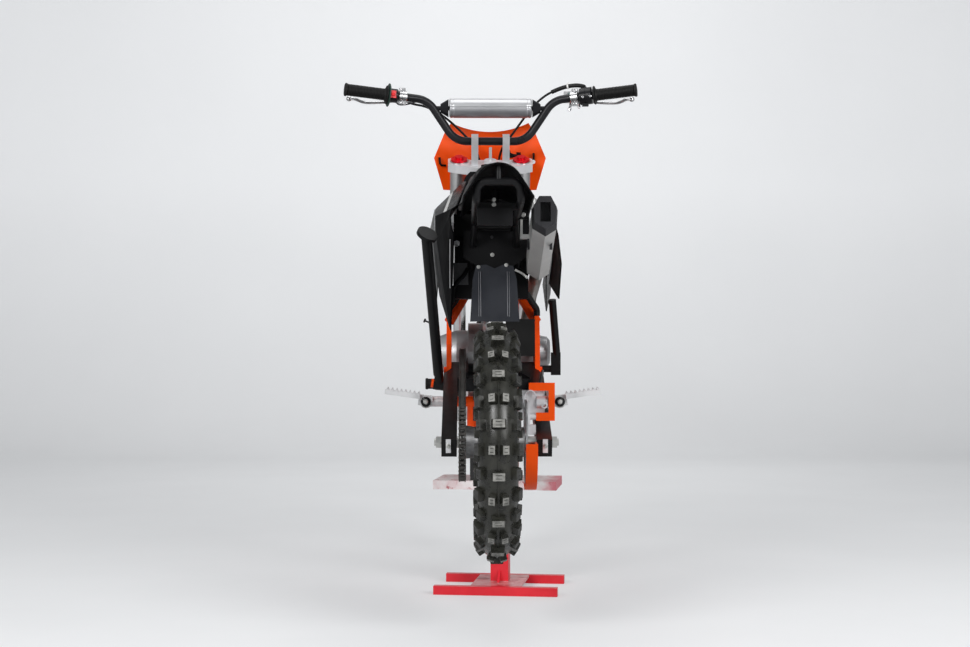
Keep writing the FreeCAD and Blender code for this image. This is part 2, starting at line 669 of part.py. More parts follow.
def subframe():
    """Two seat rails that end in a hoop under the tail, with stays from the pivot plates."""
    start = SPINE_END + V(0, 12, 10)
    half = [(SUBFRAME_SPREAD, start.y, start.z), (TAIL_SPREAD, REAR_AXLE.y + 114, TAIL_Z - 17),
            (TAIL_SPREAD, LOOP_Y, TAIL_Z), (TAIL_SPREAD - 4, LOOP_Y - 8, LOOP_TOP_Z)]
    loop = half + [(-x, y, z) for x, y, z in reversed(half)]
    pieces = [rod(loop, SUBFRAME_RADIUS, 18)]
    pieces += both_sides(subframe_stay(STAY_RADIUS))
    for y, z in ((FLAP_Y + PANEL_THICKNESS + 7 + SEAT_GAP, TAIL_Z - 25), (SADDLE_Y, TAIL_Z - 13)):
        pieces.append(cylinder(V(-TAIL_SPREAD, y, z), V(TAIL_SPREAD, y, z), 7))
    for y, z in ((SADDLE_Y, TAIL_Z - 13), (LOOP_Y - 8, LOOP_TOP_Z)):
        post = cylinder(V(0, y, z), V(0, y, fender_top(y) - FENDER_THICKNESS / 2), 7)
        pieces.append(one(post.cut(moved(rear_fender(), (0, 0, -SEAT_GAP)))))
    tail_box = box((-44, REAR_AXLE.y - 150, TAIL_Z - 48), (32, REAR_AXLE.y - 110, TAIL_Z - 12))
    strap = box((-TAIL_SPREAD, REAR_AXLE.y - 134, TAIL_Z - 13), (TAIL_SPREAD, REAR_AXLE.y - 122, TAIL_Z + 1))
    pieces += [tail_box, strap]
    return one(fuse(pieces))


def arm_side(grow=0.0):
    """The swingarm's outline in the side view, from the pivot to past the axle."""
    line = REAR_AXLE - PIVOT
    along = V(0, line.y, line.z).normalize()
    square = V(0, -along.z, along.y)
    tail = REAR_AXLE + along * 36
    front = PIVOT - along * 12
    low = ARM_HALF_HEIGHT + grow
    corners = [front + square * (low + 2), tail + square * low, tail - square * low,
               front - square * (low + 2)]
    return [(p.y, p.z) for p in corners]


def swingarm():
    outer = ARM_INNER + ARM_THICKNESS
    y_pivot = PIVOT.y
    y_tail = REAR_AXLE.y - 60
    plate = PLATE_INNER - SEAT_GAP
    plan = [(62, y_pivot + 30), (plate, y_pivot + 30), (plate, y_pivot - 40), (outer, y_pivot - 76),
            (outer, y_tail), (ARM_INNER, y_tail), (ARM_INNER, y_pivot - 106),
            (62, y_pivot - 60)]
    slab = plan_plate(plan, REAR_AXLE.z - 80, PIVOT.z + 80)
    arm = slab.common(side_plate(arm_side(), 0, outer + 20))
    half = PLATE_INNER - SEAT_GAP
    pivot_tube = cylinder(PIVOT - V(half, 0, 0), PIVOT + V(half, 0, 0), PIVOT_RADIUS)
    brace_y = PIVOT.y - 95
    brace_z = PIVOT.z - 31
    brace = box((-ARM_INNER - 2, brace_y - 18, brace_z - 14), (ARM_INNER + 2, brace_y + 18, brace_z + 16))
    guide_y = REAR_AXLE.y + 120
    guide_z = REAR_AXLE.z - 46
    guide = box((CHAIN_X - 16, guide_y - 36, guide_z - 26), (CHAIN_X + 14, guide_y + 36, guide_z + 34))
    pieces = [pivot_tube, brace] + both_sides(arm)
    pieces += clevis(SHOCK_FOOT, V(0, brace_y - SHOCK_FOOT.y, brace_z - SHOCK_FOOT.z),
                     (SHOCK_FOOT - V(0, brace_y, brace_z)).Length)
    pieces.append(guide)
    body = fuse(pieces)
    axle_hole = cylinder(REAR_AXLE - V(140, 0, 0), REAR_AXLE + V(140, 0, 0), AXLE_RADIUS + PIN_GAP)
    slot = chain_band(-CHAIN_HALF_HEIGHT - 2, CHAIN_HALF_HEIGHT + 2, CHAIN_X - CHAIN_HALF_WIDTH - 1.5,
                      CHAIN_X + CHAIN_HALF_WIDTH + 1.5)
    return one(body.cut(Part.makeCompound([axle_hole, slot])))


def rear_axle():
    outer = ARM_INNER + ARM_THICKNESS + SEAT_GAP
    shaft = cylinder(REAR_AXLE - V(outer + 16, 0, 0), REAR_AXLE + V(outer + 16, 0, 0), AXLE_RADIUS)
    pieces = [shaft]
    for side, seat in ((1, REAR_HUB_HALF), (-1, -CHAIN_X + SPROCKET_THICKNESS / 2)):
        start = REAR_AXLE + V(side * (seat + SEAT_GAP), 0, 0)
        pieces.append(cylinder(start, REAR_AXLE + V(side * (ARM_INNER - SEAT_GAP), 0, 0), 13))
        nut = Part.Face(Part.makePolygon([V(0, 14 * math.cos(a), 14 * math.sin(a))
                                          for a in [math.radians(60 * i) for i in range(7)]]))
        nut = nut.extrude(V(side * 12, 0, 0))
        nut.translate(REAR_AXLE + V(side * outer, 0, 0))
        pieces.append(nut)
    return one(fuse(pieces))


def rear_shock():
    """Damper with its coils and spring seats, between the two clevises."""
    line = SHOCK_FOOT - SHOCK_TOP
    length = line.Length
    eyes = [cylinder(p - V(SHOCK_EYE_HALF, 0, 0), p + V(SHOCK_EYE_HALF, 0, 0), SHOCK_EYE_RADIUS)
            for p in (SHOCK_TOP, SHOCK_FOOT)]
    wide = SHOCK_RADIUS
    spring_top = 72.0
    spring_foot = length - 38.0
    coils = 7
    pitch = (spring_foot - spring_top - 8) / coils
    points = [(0, 0), (9, 0), (9, 17), (14, 17), (14, spring_top - 8), (wide, spring_top - 8),
              (wide, spring_top)]
    for i in range(coils):
        low = spring_top + pitch * i
        points += [(19, low + 0.5), (wide - 1, low + pitch * 0.35), (wide - 1, low + pitch * 0.65)]
    points += [(19, spring_foot - 8.5), (wide, spring_foot - 8), (wide, spring_foot), (9, spring_foot),
               (9, length), (0, length)]
    face = Part.Face(outline([(r, 0, h) for r, h in points]))
    body = face.revolve(V(0, 0, 0), V(0, 0, 1), 360)
    body.Placement = FreeCAD.Placement(SHOCK_TOP, FreeCAD.Rotation(V(0, 0, 1), line))
    return one(fuse([body] + eyes))


# Engine


def case_outline():
    y, z = CRANK.y, CRANK.z
    points = [(y - 152, z - 66), (y - 100, z - 134), (y + 30, z - 134), (y + 52, z - 70), (y + 52, z + 55),
              (y - 12, z + 74), (y - 130, z + 50), (y - 158, z + 5)]
    return points, {0: (y - 138, z - 110), 5: (y - 70, z + 76)}


def case_block():
    points, arcs = case_outline()
    return side_plate(points, -CASE_HALF, CASE_HALF, arcs)


def crankcase():
    feet = [box((-18, y - 14, CRADLE_Z + ENGINE_BOSS + SEAT_GAP), (18, y + 14, CRANK.z - 120))
            for y in ENGINE_FEET_Y]
    shaft = cylinder(V(-CASE_HALF + 4, FRONT_SPROCKET.y, FRONT_SPROCKET.z),
                     V(CHAIN_X - 8, FRONT_SPROCKET.y, FRONT_SPROCKET.z), 9)
    sprocket = sprocket_disc(FRONT_SPROCKET, FRONT_PITCH - ROLLER_RADIUS - SEAT_GAP, 5)
    return one(fuse([case_block()] + feet + [shaft, sprocket]))


def left_cover():
    """Generator cover: a stepped round lid."""
    points = [(-CASE_HALF - SEAT_GAP, 0), (-142, 0), (-142, 34), (-134, 46), (-112, 54),
              (-92, 60), (-CASE_HALF - SEAT_GAP, 60)]
    return turned(points, CRANK + V(0, 4, 0))


def right_cover():
    """Clutch cover with a raised round lid."""
    points = [(CASE_HALF + SEAT_GAP, 0), (150, 0), (150, 30), (142, 40), (118, 44), (112, 60),
              (96, 66), (CASE_HALF + SEAT_GAP, 66)]
    return turned(points, CRANK + V(0, -28, 4))


def cylinder_head():
    """Finned barrel and head, lying forward and a little up, built along +Y from the crankcase."""
    start = 54.0
    pieces = [Part.makeCylinder(42, 112, V(0, 0, 0), V(0, 1, 0))]
    fins = 8
    pitch = 8.6
    for i in range(fins):
        half = 54 if i % 2 else 51
        pieces.append(Part.makeBox(2 * half, 3.2, 2 * half, V(-half, 6 + pitch * i, -half)))
    pieces.append(Part.makeBox(96, 34, 92, V(-48, 76, -46)))
    pieces.append(Part.makeCylinder(24, 108, V(0, 94, -54), V(0, 0, 1)))
    pieces.append(Part.makeBox(60, 16, 70, V(-30, 104, -35)))
    pieces.append(Part.makeCylinder(8, 26, V(46, 96, 8), V(1, 0, 0.2)))
    barrel = one(fuse(pieces))
    barrel.rotate(V(0, 0, 0), V(1, 0, 0), CYLINDER_TILT)
    barrel.translate(CRANK + V(0, start, 2))
    return one(barrel.cut(moved(case_block(), (0, SEAT_GAP, 0))))


def head_port(up):
    """A point on the head's top or bottom port, up being +1 or -1."""
    tilt = math.radians(CYLINDER_TILT)
    along = V(0, math.cos(tilt), math.sin(tilt))
    square = V(0, -math.sin(tilt), math.cos(tilt))
    return CRANK + V(0, 54, 2) + along * 94 + square * up * (54 + SEAT_GAP), square * up


def carburettor():
    """Inlet pipe, carburettor with float bowl, and its round air filter."""
    port, out = head_port(1)
    flange = cylinder(port, port + out * 6, 24)
    throat = port + out * 34
    carb_z = port.z + 62
    front = V(0, port.y - 62, carb_z)
    back = V(0, port.y - 128, carb_z + 4)
    pipe = rod([port, throat, front], 14, 20)
    body = cylinder(front + V(0, 14, 0), back, 23)
    bowl = cylinder(V(0, front.y - 28, carb_z - 44), V(0, front.y - 28, carb_z), 20)
    filter_end = back + V(0, -66, 6)
    air_filter = Part.makeCone(30, 37, (filter_end - back).Length, back, filter_end - back)
    slide = cylinder(V(0, front.y - 28, carb_z), V(0, front.y - 28, carb_z + 44), 13)
    return one(fuse([flange, pipe, body, bowl, air_filter, slide]))


# Exhaust


def silencer_section(grow=0.0):
    """Six-sided section, taller than wide, as (across, up), clockwise from the top."""
    return [(x * (1 + grow), z * (1 + grow)) for x, z in
            ((-14, 40), (14, 40), (28, 14), (26, -26), (2, -41), (-26, -24), (-28, 14))]


def silencer_prism(start, end, grow_start=0.0, grow_end=0.0):
    sections = []
    for centre, grow in ((start, grow_start), (end, grow_end)):
        sections.append(([centre + V(x, 0, z) for x, z in silencer_section(grow)], None))
    return lofted(sections)


def along_silencer(share):
    return SILENCER_FRONT + (SILENCER_REAR - SILENCER_FRONT) * share


def silencer():
    body_start = along_silencer(0.10)
    cone = silencer_prism(along_silencer(0.0), body_start, -0.42, 0.0)
    length = (SILENCER_REAR - SILENCER_FRONT).Length
    body = silencer_prism(body_start, along_silencer(1 - (CAP_LENGTH + SEAT_GAP) / length))
    bracket_at = along_silencer(0.52)
    inner = TAIL_SPREAD + SUBFRAME_RADIUS + SEAT_GAP
    x, y, z = bracket_at.x, bracket_at.y, bracket_at.z
    lug = box((inner, y - 15, z + 4), (x - 18, y + 15, z + 14))
    tab = box((inner, y - 15, z + 4), (inner + 5, y + 15, TAIL_Z - 6))
    return one(fuse([cone, body, lug, tab]))


def silencer_cap():
    length = (SILENCER_REAR - SILENCER_FRONT).Length
    cap = silencer_prism(along_silencer(1 - CAP_LENGTH / length), SILENCER_REAR, 0.03, -0.12)
    slot = box((SILENCER_REAR.x - 10, SILENCER_REAR.y - 5, SILENCER_REAR.z - 20),
               (SILENCER_REAR.x + 12, SILENCER_REAR.y + 30, SILENCER_REAR.z + 22))
    return one(cap.cut(slot))


def exhaust_pipe():
    port, out = head_port(-1)
    end = SILENCER_FRONT
    climb = port + V(92, -2, 96)
    points = [port, port + out * 50, port + V(70, 0, -58), port + V(92, -4, -10), climb,
              V(104, port.y - 110, climb.z + 92), end - V(0, -90, 22), end]
    flange = cylinder(port, port + out * 6, 25)
    pipe = fuse([rod(points, PIPE_RADIUS, 30), flange])
    ahead = (SILENCER_FRONT - SILENCER_REAR).normalize() * SEAT_GAP
    return one(pipe.cut(moved(silencer(), ahead)))


# Bodywork


def fender_top(y):
    """Height of the rear fender's ridge at a place along the bike."""
    sections = rear_sections()
    for ahead, behind in zip(sections, sections[1:]):
        if y >= behind[0]:
            share = (y - ahead[0]) / (behind[0] - ahead[0])
            return ahead[3] + share * (behind[3] - ahead[3])
    return sections[-1][3]


def arch_section(y, half, edge, top, thickness):
    points = [(-half, y, edge), (-half + thickness, y, edge), (half - thickness, y, edge), (half, y, edge)]
    return points, {1: (0, y, top - thickness), 3: (0, y, top)}


def arch(sections, thickness):
    return lofted([arch_section(*section, thickness) for section in sections])


def arch_block(sections):
    """The same arch with no hollow, to cut or to seat its neighbours."""
    blocks = []
    for y, half, edge, top in sections:
        blocks.append(([(-half, y, edge), (half, y, edge)], {1: (0, y, top)}))
    return lofted(blocks)


def rear_sections():
    return [(REAR_AXLE.y + y, half, REAR_AXLE.z + edge, REAR_AXLE.z + top)
            for y, half, edge, top in FENDER_SECTIONS]


def roof_line(y, half, edge, top, inset=0.0):
    """A fender's section with straight flanks and a round ridge, from the right edge to the left one."""
    flank = edge + FLANK_RISE * (top - edge)
    knee = FLANK_REACH * half - 0.5 * inset
    points = [(half - 1.2 * inset, y, edge), (knee, y, flank - inset), (-knee, y, flank - inset),
              (1.2 * inset - half, y, edge)]
    return points, (0, y, top - inset)


def roof(sections, thickness):
    shells = []
    for section in sections:
        outer, ridge = roof_line(*section)
        inner, under = roof_line(*section, thickness)
        shells.append((outer + inner[::-1], {1: ridge, 5: under}))
    return lofted(shells)


def roof_block(sections):
    """The same fender with no hollow, to seat its neighbours."""
    blocks = []
    for section in sections:
        outer, ridge = roof_line(*section)
        blocks.append((outer, {1: ridge}))
    return lofted(blocks)


def rear_fender():
    return roof(rear_sections(), FENDER_THICKNESS)


def flap_sheet(line, low, high, thickness):
    """A bent sheet, its side view given by (y, z) points down its rear face."""
    behind = [(y + thickness, z) for y, z in reversed(line)]
    return side_plate(list(line) + behind, low, high)


def inner_fender():
    """Wide black panel behind the seat rails, notched round the stays, with a V at its foot."""
    top = TAIL_Z - 35
    foot = TAIL_Z - 22 - FLAP_TOP_DROP
    wide = INNER_FENDER_HALF
    panel = flap_sheet([(FLAP_Y, top), (FLAP_Y, foot - 10)], -wide, wide, PANEL_THICKNESS)
    shape = front_plate([(-wide, top), (wide, top), (wide, foot + 20), (46, foot + 2), (0, foot - 10),
                         (-46, foot + 2), (-wide, foot + 20)], FLAP_Y - 20, FLAP_Y + 20)
    panel = panel.common(shape)
    stays = both_sides(subframe_stay(STAY_RADIUS + SEAT_GAP))
    return one(panel.cut(Part.makeCompound(stays)))


def mud_flap():
    """Hanging sheet between the inner fender and the tyre, bent ahead, with its sides folded ahead."""
    top = TAIL_Z - 22 - FLAP_TOP_DROP
    low = REAR_AXLE.z + REAR_TYRE_RADIUS + 2
    t = PANEL_THICKNESS
    line = [(FLAP_Y - t - SEAT_GAP, top + 16), (FLAP_Y - 8, top - 20), (FLAP_Y - 34, low)]
    sheet_wide = flap_sheet(line, -90, 90, t)
    fold = flap_sheet(line, -90, 90, 14)
    outer = [(-44, top), (-20, top + 3), (0, top - 6), (20, top + 3), (44, top), (52, REAR_AXLE.z + 370),
             (58, low), (-58, low), (-52, REAR_AXLE.z + 370)]
    window = [(-41, top + 40), (41, top + 40), (41, top), (49, REAR_AXLE.z + 370), (55, low), (55, low - 20),
              (-55, low - 20), (-55, low), (-49, REAR_AXLE.z + 370), (-41, top)]
    shape = front_plate(outer, FLAP_Y - 60, FLAP_Y + 20)
    inside = front_plate(window, FLAP_Y - 60, FLAP_Y + 20)
    return one(sheet_wide.common(shape).multiFuse([fold.common(shape).cut(inside)]))


def airbox():
    """Filter housing between the side panels, with its wall moulded round the stays."""
    body = box((-AIRBOX_HALF, PIVOT.y - 140, PIVOT.z + 180), (AIRBOX_HALF - 12, PIVOT.y - 50, TAIL_Z - 52))
    return one(body.cut(Part.makeCompound(both_sides(subframe_stay(STAY_RADIUS + SEAT_GAP)))))


def splash_guard():
    """Rubber flap between the pivot plates that keeps mud off the shock."""
    half = PLATE_INNER - SEAT_GAP
    y = PIVOT.y - 28
    flap = box((-half, y - 4, PIVOT.z + 40), (half, y + 4, PIVOT.z + 132))
    room = SHOCK_RADIUS + MOVING_GAP
    tunnel = cylinder(SHOCK_TOP, SHOCK_FOOT, room)
    below = box((-room, y - 5, PIVOT.z), (room, y + 5, SHOCK_FOOT.z + 60))
    return one(flap.cut(tunnel).cut(below))


def sheet_section(y, line, thickness):
    """A thin closed section through (x, z) points, thickened towards the bike's middle."""
    inner = [(x - thickness, y, z) for x, z in reversed(line)]
    return [(x, y, z) for x, z in line] + inner, None


def sheet(sections, thickness, side):
    shape = lofted([sheet_section(y, line, thickness) for y, line in sections])
    return shape if side > 0 else mirrored(shape)


def shrouds():
    return [sheet(SHROUD_SECTIONS, PANEL_THICKNESS, side) for side in (1, -1)]


def side_panels():
    return [sheet(PANEL_SECTIONS[side], PANEL_THICKNESS, side) for side in (1, -1)]


def tank_section(y, low, high, half_low, half_high):
    points = [(-half_low, y, low), (half_low, y, low), (half_low, y, (low + high) / 2),
              (half_high, y, high - 14), (half_high - 14, y, high), (14 - half_high, y, high),
              (-half_high, y, high - 14), (-half_low, y, (low + high) / 2)]
    return points, None


def fuel_tank():
    pieces = [lofted([tank_section(*section) for section in part]) for part in (TANK_FRONT, TANK_REAR)]
    cap = Part.makeCylinder(27, 26, V(0, 110, 1090))
    body = fuse(pieces + [cap])
    spine_start = fork_point(0, -HEAD_TUBE_RADIUS + 6, HEAD_UP + HEAD_TUBE_LENGTH - 32)
    past_end = SPINE_END + (SPINE_END - spine_start).normalize() * 40
    tunnel = cylinder(spine_start, past_end, BACKBONE_RADIUS + SEAT_GAP)
    below = [moved(tunnel, (0, 0, -drop)) for drop in (15, 30, 45, 60, 75, 90)]
    depth = 60
    far_out = [(y, [(x + depth, z) for x, z in line]) for y, line in SHROUD_SECTIONS]
    outside = [sheet(far_out, depth + PANEL_THICKNESS + SEAT_GAP, side) for side in (1, -1)]
    body = body.cut(Part.makeCompound([tunnel] + below))
    for piece in outside:
        body = body.cut(piece)
    return one(body)


def seat_section(y, low, high, half_low, half_high):
    points = [(-half_low, y, low), (half_low, y, low), (half_high, y, high - 22), (-half_high, y, high - 22)]
    return points, {2: (0, y, high)}


def seat():
    cushion = lofted([seat_section(*section) for section in SEAT_SECTIONS])
    tank = Part.makeCompound([lofted([tank_section(*section) for section in part])
                              for part in (TANK_FRONT, TANK_REAR)])
    cushion = cushion.cut(moved(tank, (0, 0, SEAT_GAP)))
    cushion = cushion.cut(moved(roof_block(rear_sections()), (0, 0, SEAT_GAP)))
    for skin in shrouds():
        cushion = cushion.cut(skin)
    return one(cushion)


# Foot controls, stand and guards

def footpeg():
    """Toothed tapered platform on its arm, tilted up outward from the pivot plate; right side."""
    root = PEG_TUBE
    inner = PLATE_OUTER + 68
    outer = inner + PEG_LENGTH
    z = root.z + 13
    y = root.y - 14
    deep = PEG_DEPTH / 2
    plate = plan_plate([(inner, y - deep), (outer, y - deep + 5), (outer, y + deep - 5), (inner, y + deep)],
                       z - 8, z + 4)
    cells = [box((inner + 7 + 27 * i, y - 14, z - 9), (inner + 27 + 27 * i, y + 14, z + 5)) for i in range(3)]
    teeth = []
    pitch = PEG_LENGTH / 8
    for i in range(8):
        x = inner + 1 + pitch * i
        narrow = 5.0 * (i + 1) / 8
        for edge in (y - deep + narrow, y + deep - narrow - 5):
            teeth.append(front_plate([(x, z + 3), (x + 8, z + 3), (x + 4, z + 11)], edge, edge + 5))
    body = fuse([plate] + teeth).cut(Part.makeCompound(cells))
    knuckle = box((inner - 32, y - 6, z - 24), (inner + 3, y + 26, z + 3))
    tilted = fuse([body, knuckle])
    tilted.rotate(V(inner - 16, root.y, root.z), V(0, 1, 0), -PEG_TILT)
    arm = cylinder(V(PLATE_OUTER + SEAT_GAP, root.y, root.z), V(inner - 16, root.y, root.z), 13)
    return one(fuse([tilted, arm]))


def kick_starter():
    """Folded lever beside the clutch cover, with its swivel block at the foot."""
    start = V(CASE_HALF + SEAT_GAP, PIVOT.y + 94, PIVOT.z + 6)
    reach = V(90, 0, 0)
    shaft = cylinder(start, start + reach, 9)
    knee = start + reach
    block = box(knee + V(-2, -12, -16), knee + V(22, 12, 42))
    arm = cylinder(knee + V(13, -2, 30), knee + V(-1, -44, 176), 9.5)
    tread = cylinder(knee + V(-1, -44, 168), knee + V(-1, 26, 172), 8)
    return one(fuse([shaft, block, arm, tread]))


def gear_lever():
    start = V(-CASE_HALF - SEAT_GAP, PIVOT.y + 128, PIVOT.z - 44)
    elbow = start - V(84, 0, 0)
    arm = rod([start, elbow, elbow + V(0, 104, 8)], 6, 14)
    toe = cylinder(elbow + V(12, 104, 8), elbow + V(-28, 104, 8), 11)
    return one(fuse([arm, toe]))


def brake_pedal():
    root = V(PLATE_OUTER + SEAT_GAP, PIVOT.y + 48, PIVOT.z - 40)
    shaft = cylinder(root, root + V(34, 0, 0), 9)
    elbow = root + V(26, 0, 0)
    arm = rod([elbow, elbow + V(0, 60, -40), elbow + V(2, 165, -34)], 6.5, 30)
    pad = box((elbow.x - 8, elbow.y + 150, elbow.z - 36), (elbow.x + 30, elbow.y + 190, elbow.z - 25))
    return one(fuse([shaft, arm, pad]))


def side_stand():
    """Folded up and back beside the left panel; it swings back and down about the hinge pin."""
    boss = cylinder(STAND_HINGE - HINGE_AXIS * 14, STAND_HINGE + HINGE_AXIS * 14, 15)
    foot = STAND_HINGE + V(-26, -265, 354)
    leg = cylinder(STAND_HINGE, foot, 12.5)
    leg_line = (foot - STAND_HINGE).normalize()
    shoe = Part.makeCylinder(25, 9, foot - leg_line * 3, leg_line + V(0.5, 0, 0))
    body = fuse([boss, leg, shoe])
    bore = cylinder(STAND_HINGE - HINGE_AXIS * 15, STAND_HINGE + HINGE_AXIS * 15, 6 + PIN_GAP)
    clear = cylinder(STAND_HINGE - HINGE_AXIS * 40, STAND_HINGE - HINGE_AXIS * 14, 30)
    inside = cylinder(STAND_HINGE + HINGE_AXIS * 14, STAND_HINGE + HINGE_AXIS * 40, 30)
    return one(body.cut(Part.makeCompound([bore, clear, inside])))


def rear_caliper():
    """Caliper straddling the disc, on a bracket that reaches the swingarm's inner face."""
    y = REAR_AXLE.y + 66
    z = REAR_AXLE.z + 88
    slot = DISC_THICKNESS / 2 + 2.2
    body = box((REAR_DISC_X - 11, y - 30, z - 25), (REAR_DISC_X + 44, y + 30, z + 25))
    pistons = [cylinder(V(REAR_DISC_X + 40, y + offset, z), V(REAR_DISC_X + 54, y + offset, z), 12)
               for offset in (-14, 14)]
    low, high = REAR_DISC_X - slot, REAR_DISC_X + slot
    rim_edge = REAR_DISC_RADIUS + 4
    gap = turned([(low, 20), (high, 20), (high, rim_edge), (low, rim_edge)], REAR_AXLE)
    arm_face = REAR_DISC_X + slot + 6.2
    bracket = side_plate([(y - 26, z + 10), (y - 72, z - 70), (y - 40, z - 72), (y + 26, z - 20)],
                         arm_face - 5, arm_face)
    foot = box((arm_face - 2, y - 64, z - 72), (ARM_INNER - SEAT_GAP, y - 38, z - 50))
    return one(fuse([body] + pistons + [bracket, foot]).cut(gap))


def caliper_guard():
    """C-shaped guard behind the caliper, open to the wheel, with a tongue over the caliper."""
    y = REAR_AXLE.y + 66
    z = REAR_AXLE.z + 88
    x = REAR_DISC_X
    rear, front = y - 44, y - 31
    top = box((x + 8, rear, z + 27), (x + 66, front, z + 43))
    side = box((x + 52, rear, z - 42), (x + 66, front, z + 43))
    low = box((x + 24, rear, z - 42), (x + 66, front, z - 24))
    tongue = box((x + 10, rear, z + 25 + SEAT_GAP), (x + 66, y + 24, z + 32))
    return one(fuse([top, side, low, tongue]))


def disc_guard():
    """Fin that shields the disc's lower rear edge, seated on the swingarm's inner face."""
    radius = REAR_DISC_RADIUS + MOVING_GAP + 1.5
    x = REAR_DISC_X
    rim_band = turned([(x - 3, radius), (ARM_INNER - SEAT_GAP, radius), (ARM_INNER - SEAT_GAP, radius + 4),
                       (x - 3, radius + 4)], REAR_AXLE)
    web_in = ARM_INNER - SEAT_GAP - 4
    web = turned([(web_in, 24), (web_in + 4, 24), (web_in + 4, radius + 1), (web_in, radius + 1)], REAR_AXLE)
    wedge = side_plate([(REAR_AXLE.y, REAR_AXLE.z + 2), (REAR_AXLE.y - 130, REAR_AXLE.z + 2),
                        (REAR_AXLE.y - 60, REAR_AXLE.z - 150), (REAR_AXLE.y + 60, REAR_AXLE.z - 150)], 0, 200)
    return one(fuse([rim_band, web]).common(wedge))


# Steering parts

def top_clamp():
    """Upper clamp with its stem nut and the two handlebar risers."""
    half = FORK_SPREAD + 31
    low = TOP_CLAMP_UP
    points = [(-half, 4), (-half + 22, -8), (-34, -30), (34, -30), (half - 22, -8), (half, 4),
              (half, 44), (half - 18, 56), (FORK_SPREAD - 34, 34), (34 - FORK_SPREAD, 34),
              (18 - half, 56), (-half, 44)]
    plate = plan_plate(points, low, low + CLAMP_THICKNESS)
    nut = Part.makeCylinder(17, 12, V(0, 0, low + CLAMP_THICKNESS))
    risers = []
    bar = low + CLAMP_THICKNESS + BAR_RISE
    for side in (-1, 1):
        x = side * 43 - 9.5
        risers.append(Part.makeBox(19, 34, BAR_RISE + 17, V(x, -9, low + CLAMP_THICKNESS - 2)))
    body = fuse([plate, nut] + risers)
    cuts = [Part.makeCylinder(FORK_TUBE_RADIUS + SEAT_GAP, 60, V(side * FORK_SPREAD, FORK_OFFSET, low - 10))
            for side in (-1, 1)]
    cuts.append(Part.makeCylinder(BAR_RADIUS + SEAT_GAP, 200, V(-100, BAR_AHEAD, bar), V(1, 0, 0)))
    cuts.append(Part.makeCylinder(STEM_RADIUS + SEAT_GAP, 60, V(0, 0, low - 40)))
    return one(in_fork(body.cut(Part.makeCompound(cuts))))


BAR_AHEAD = 8.0
BAR_UP = TOP_CLAMP_UP + CLAMP_THICKNESS + BAR_RISE
BAR_CENTRE = fork_point(0, BAR_AHEAD, BAR_UP)


def lower_clamp():
    """Lower clamp with the stem that turns in the head tube, and the fender's boss."""
    half = FORK_SPREAD + 31
    points = [(-half, 0), (-half + 18, -8), (-30, -18), (30, -18), (half - 18, -8), (half, 0),
              (half, 46), (half - 18, 58), (18 - half, 58), (-half, 46)]
    plate = plan_plate(points, LOWER_CLAMP_UP, LOWER_CLAMP_UP + CLAMP_THICKNESS)
    cuts = [Part.makeCylinder(FORK_TUBE_RADIUS + SEAT_GAP, 60, V(side * FORK_SPREAD, FORK_OFFSET,
                                                              LOWER_CLAMP_UP - 10)) for side in (-1, 1)]
    stem_top = TOP_CLAMP_UP + 19
    stem = Part.makeCylinder(STEM_RADIUS, stem_top - LOWER_CLAMP_UP, V(0, 0, LOWER_CLAMP_UP))
    body = in_fork(fuse([plate.cut(Part.makeCompound(cuts)), stem]))
    boss_at = fork_point(0, 26, LOWER_CLAMP_UP + 4)
    boss = cylinder(boss_at, V(0, boss_at.y, boss_at.z - 60), 16)
    boss = boss.cut(moved(arch_block(front_sections()), (0, 0, SEAT_GAP)))
    return one(fuse([body, one_highest(boss)]))


def one_highest(shape):
    return sorted(shape.Solids, key=lambda solid: solid.BoundBox.ZMax)[-1]


def fork_tubes():
    """Outer tubes in both clamps, each with its cap."""
    low = SLIDER_TOP
    return [fork_cylinder(side * FORK_SPREAD, FORK_OFFSET, low, FORK_TOP + 2, FORK_TUBE_RADIUS)
            for side in (1, -1)]


def fork_caps():
    caps = []
    for side in (1, -1):
        start = FORK_TOP + 2 + SEAT_GAP
        ring = fork_cylinder(side * FORK_SPREAD, FORK_OFFSET, start, start + 5, FORK_TUBE_RADIUS - 3)
        hexagon = fork_cylinder(side * FORK_SPREAD, FORK_OFFSET, start + 5, start + 12, 12)
        caps.append(fuse([ring, hexagon]))
    return caps


def fork_sliders():
    """Sliders, axle lugs and the axle, as the one unit that the wheel turns on."""
    pieces = []
    for side in (1, -1):
        top = SLIDER_TOP - SEAT_GAP
        pieces.append(fork_cylinder(side * FORK_SPREAD, FORK_OFFSET, 10, top, SLIDER_RADIUS))
        foot = fork_cylinder(side * FORK_SPREAD, FORK_OFFSET, -16, 70, SLIDER_RADIUS + 6)
        boss = cylinder(FRONT_AXLE + V(side * (FRONT_HUB_HALF + SEAT_GAP), 0, 0),
                        FRONT_AXLE + V(side * (FORK_SPREAD + SLIDER_RADIUS + 4), 0, 0), 20)
        pieces += [foot, boss]
    reach = FORK_SPREAD + SLIDER_RADIUS + 12
    pieces.append(cylinder(FRONT_AXLE - V(reach, 0, 0), FRONT_AXLE + V(reach, 0, 0), AXLE_RADIUS))
    return one(fuse(pieces))


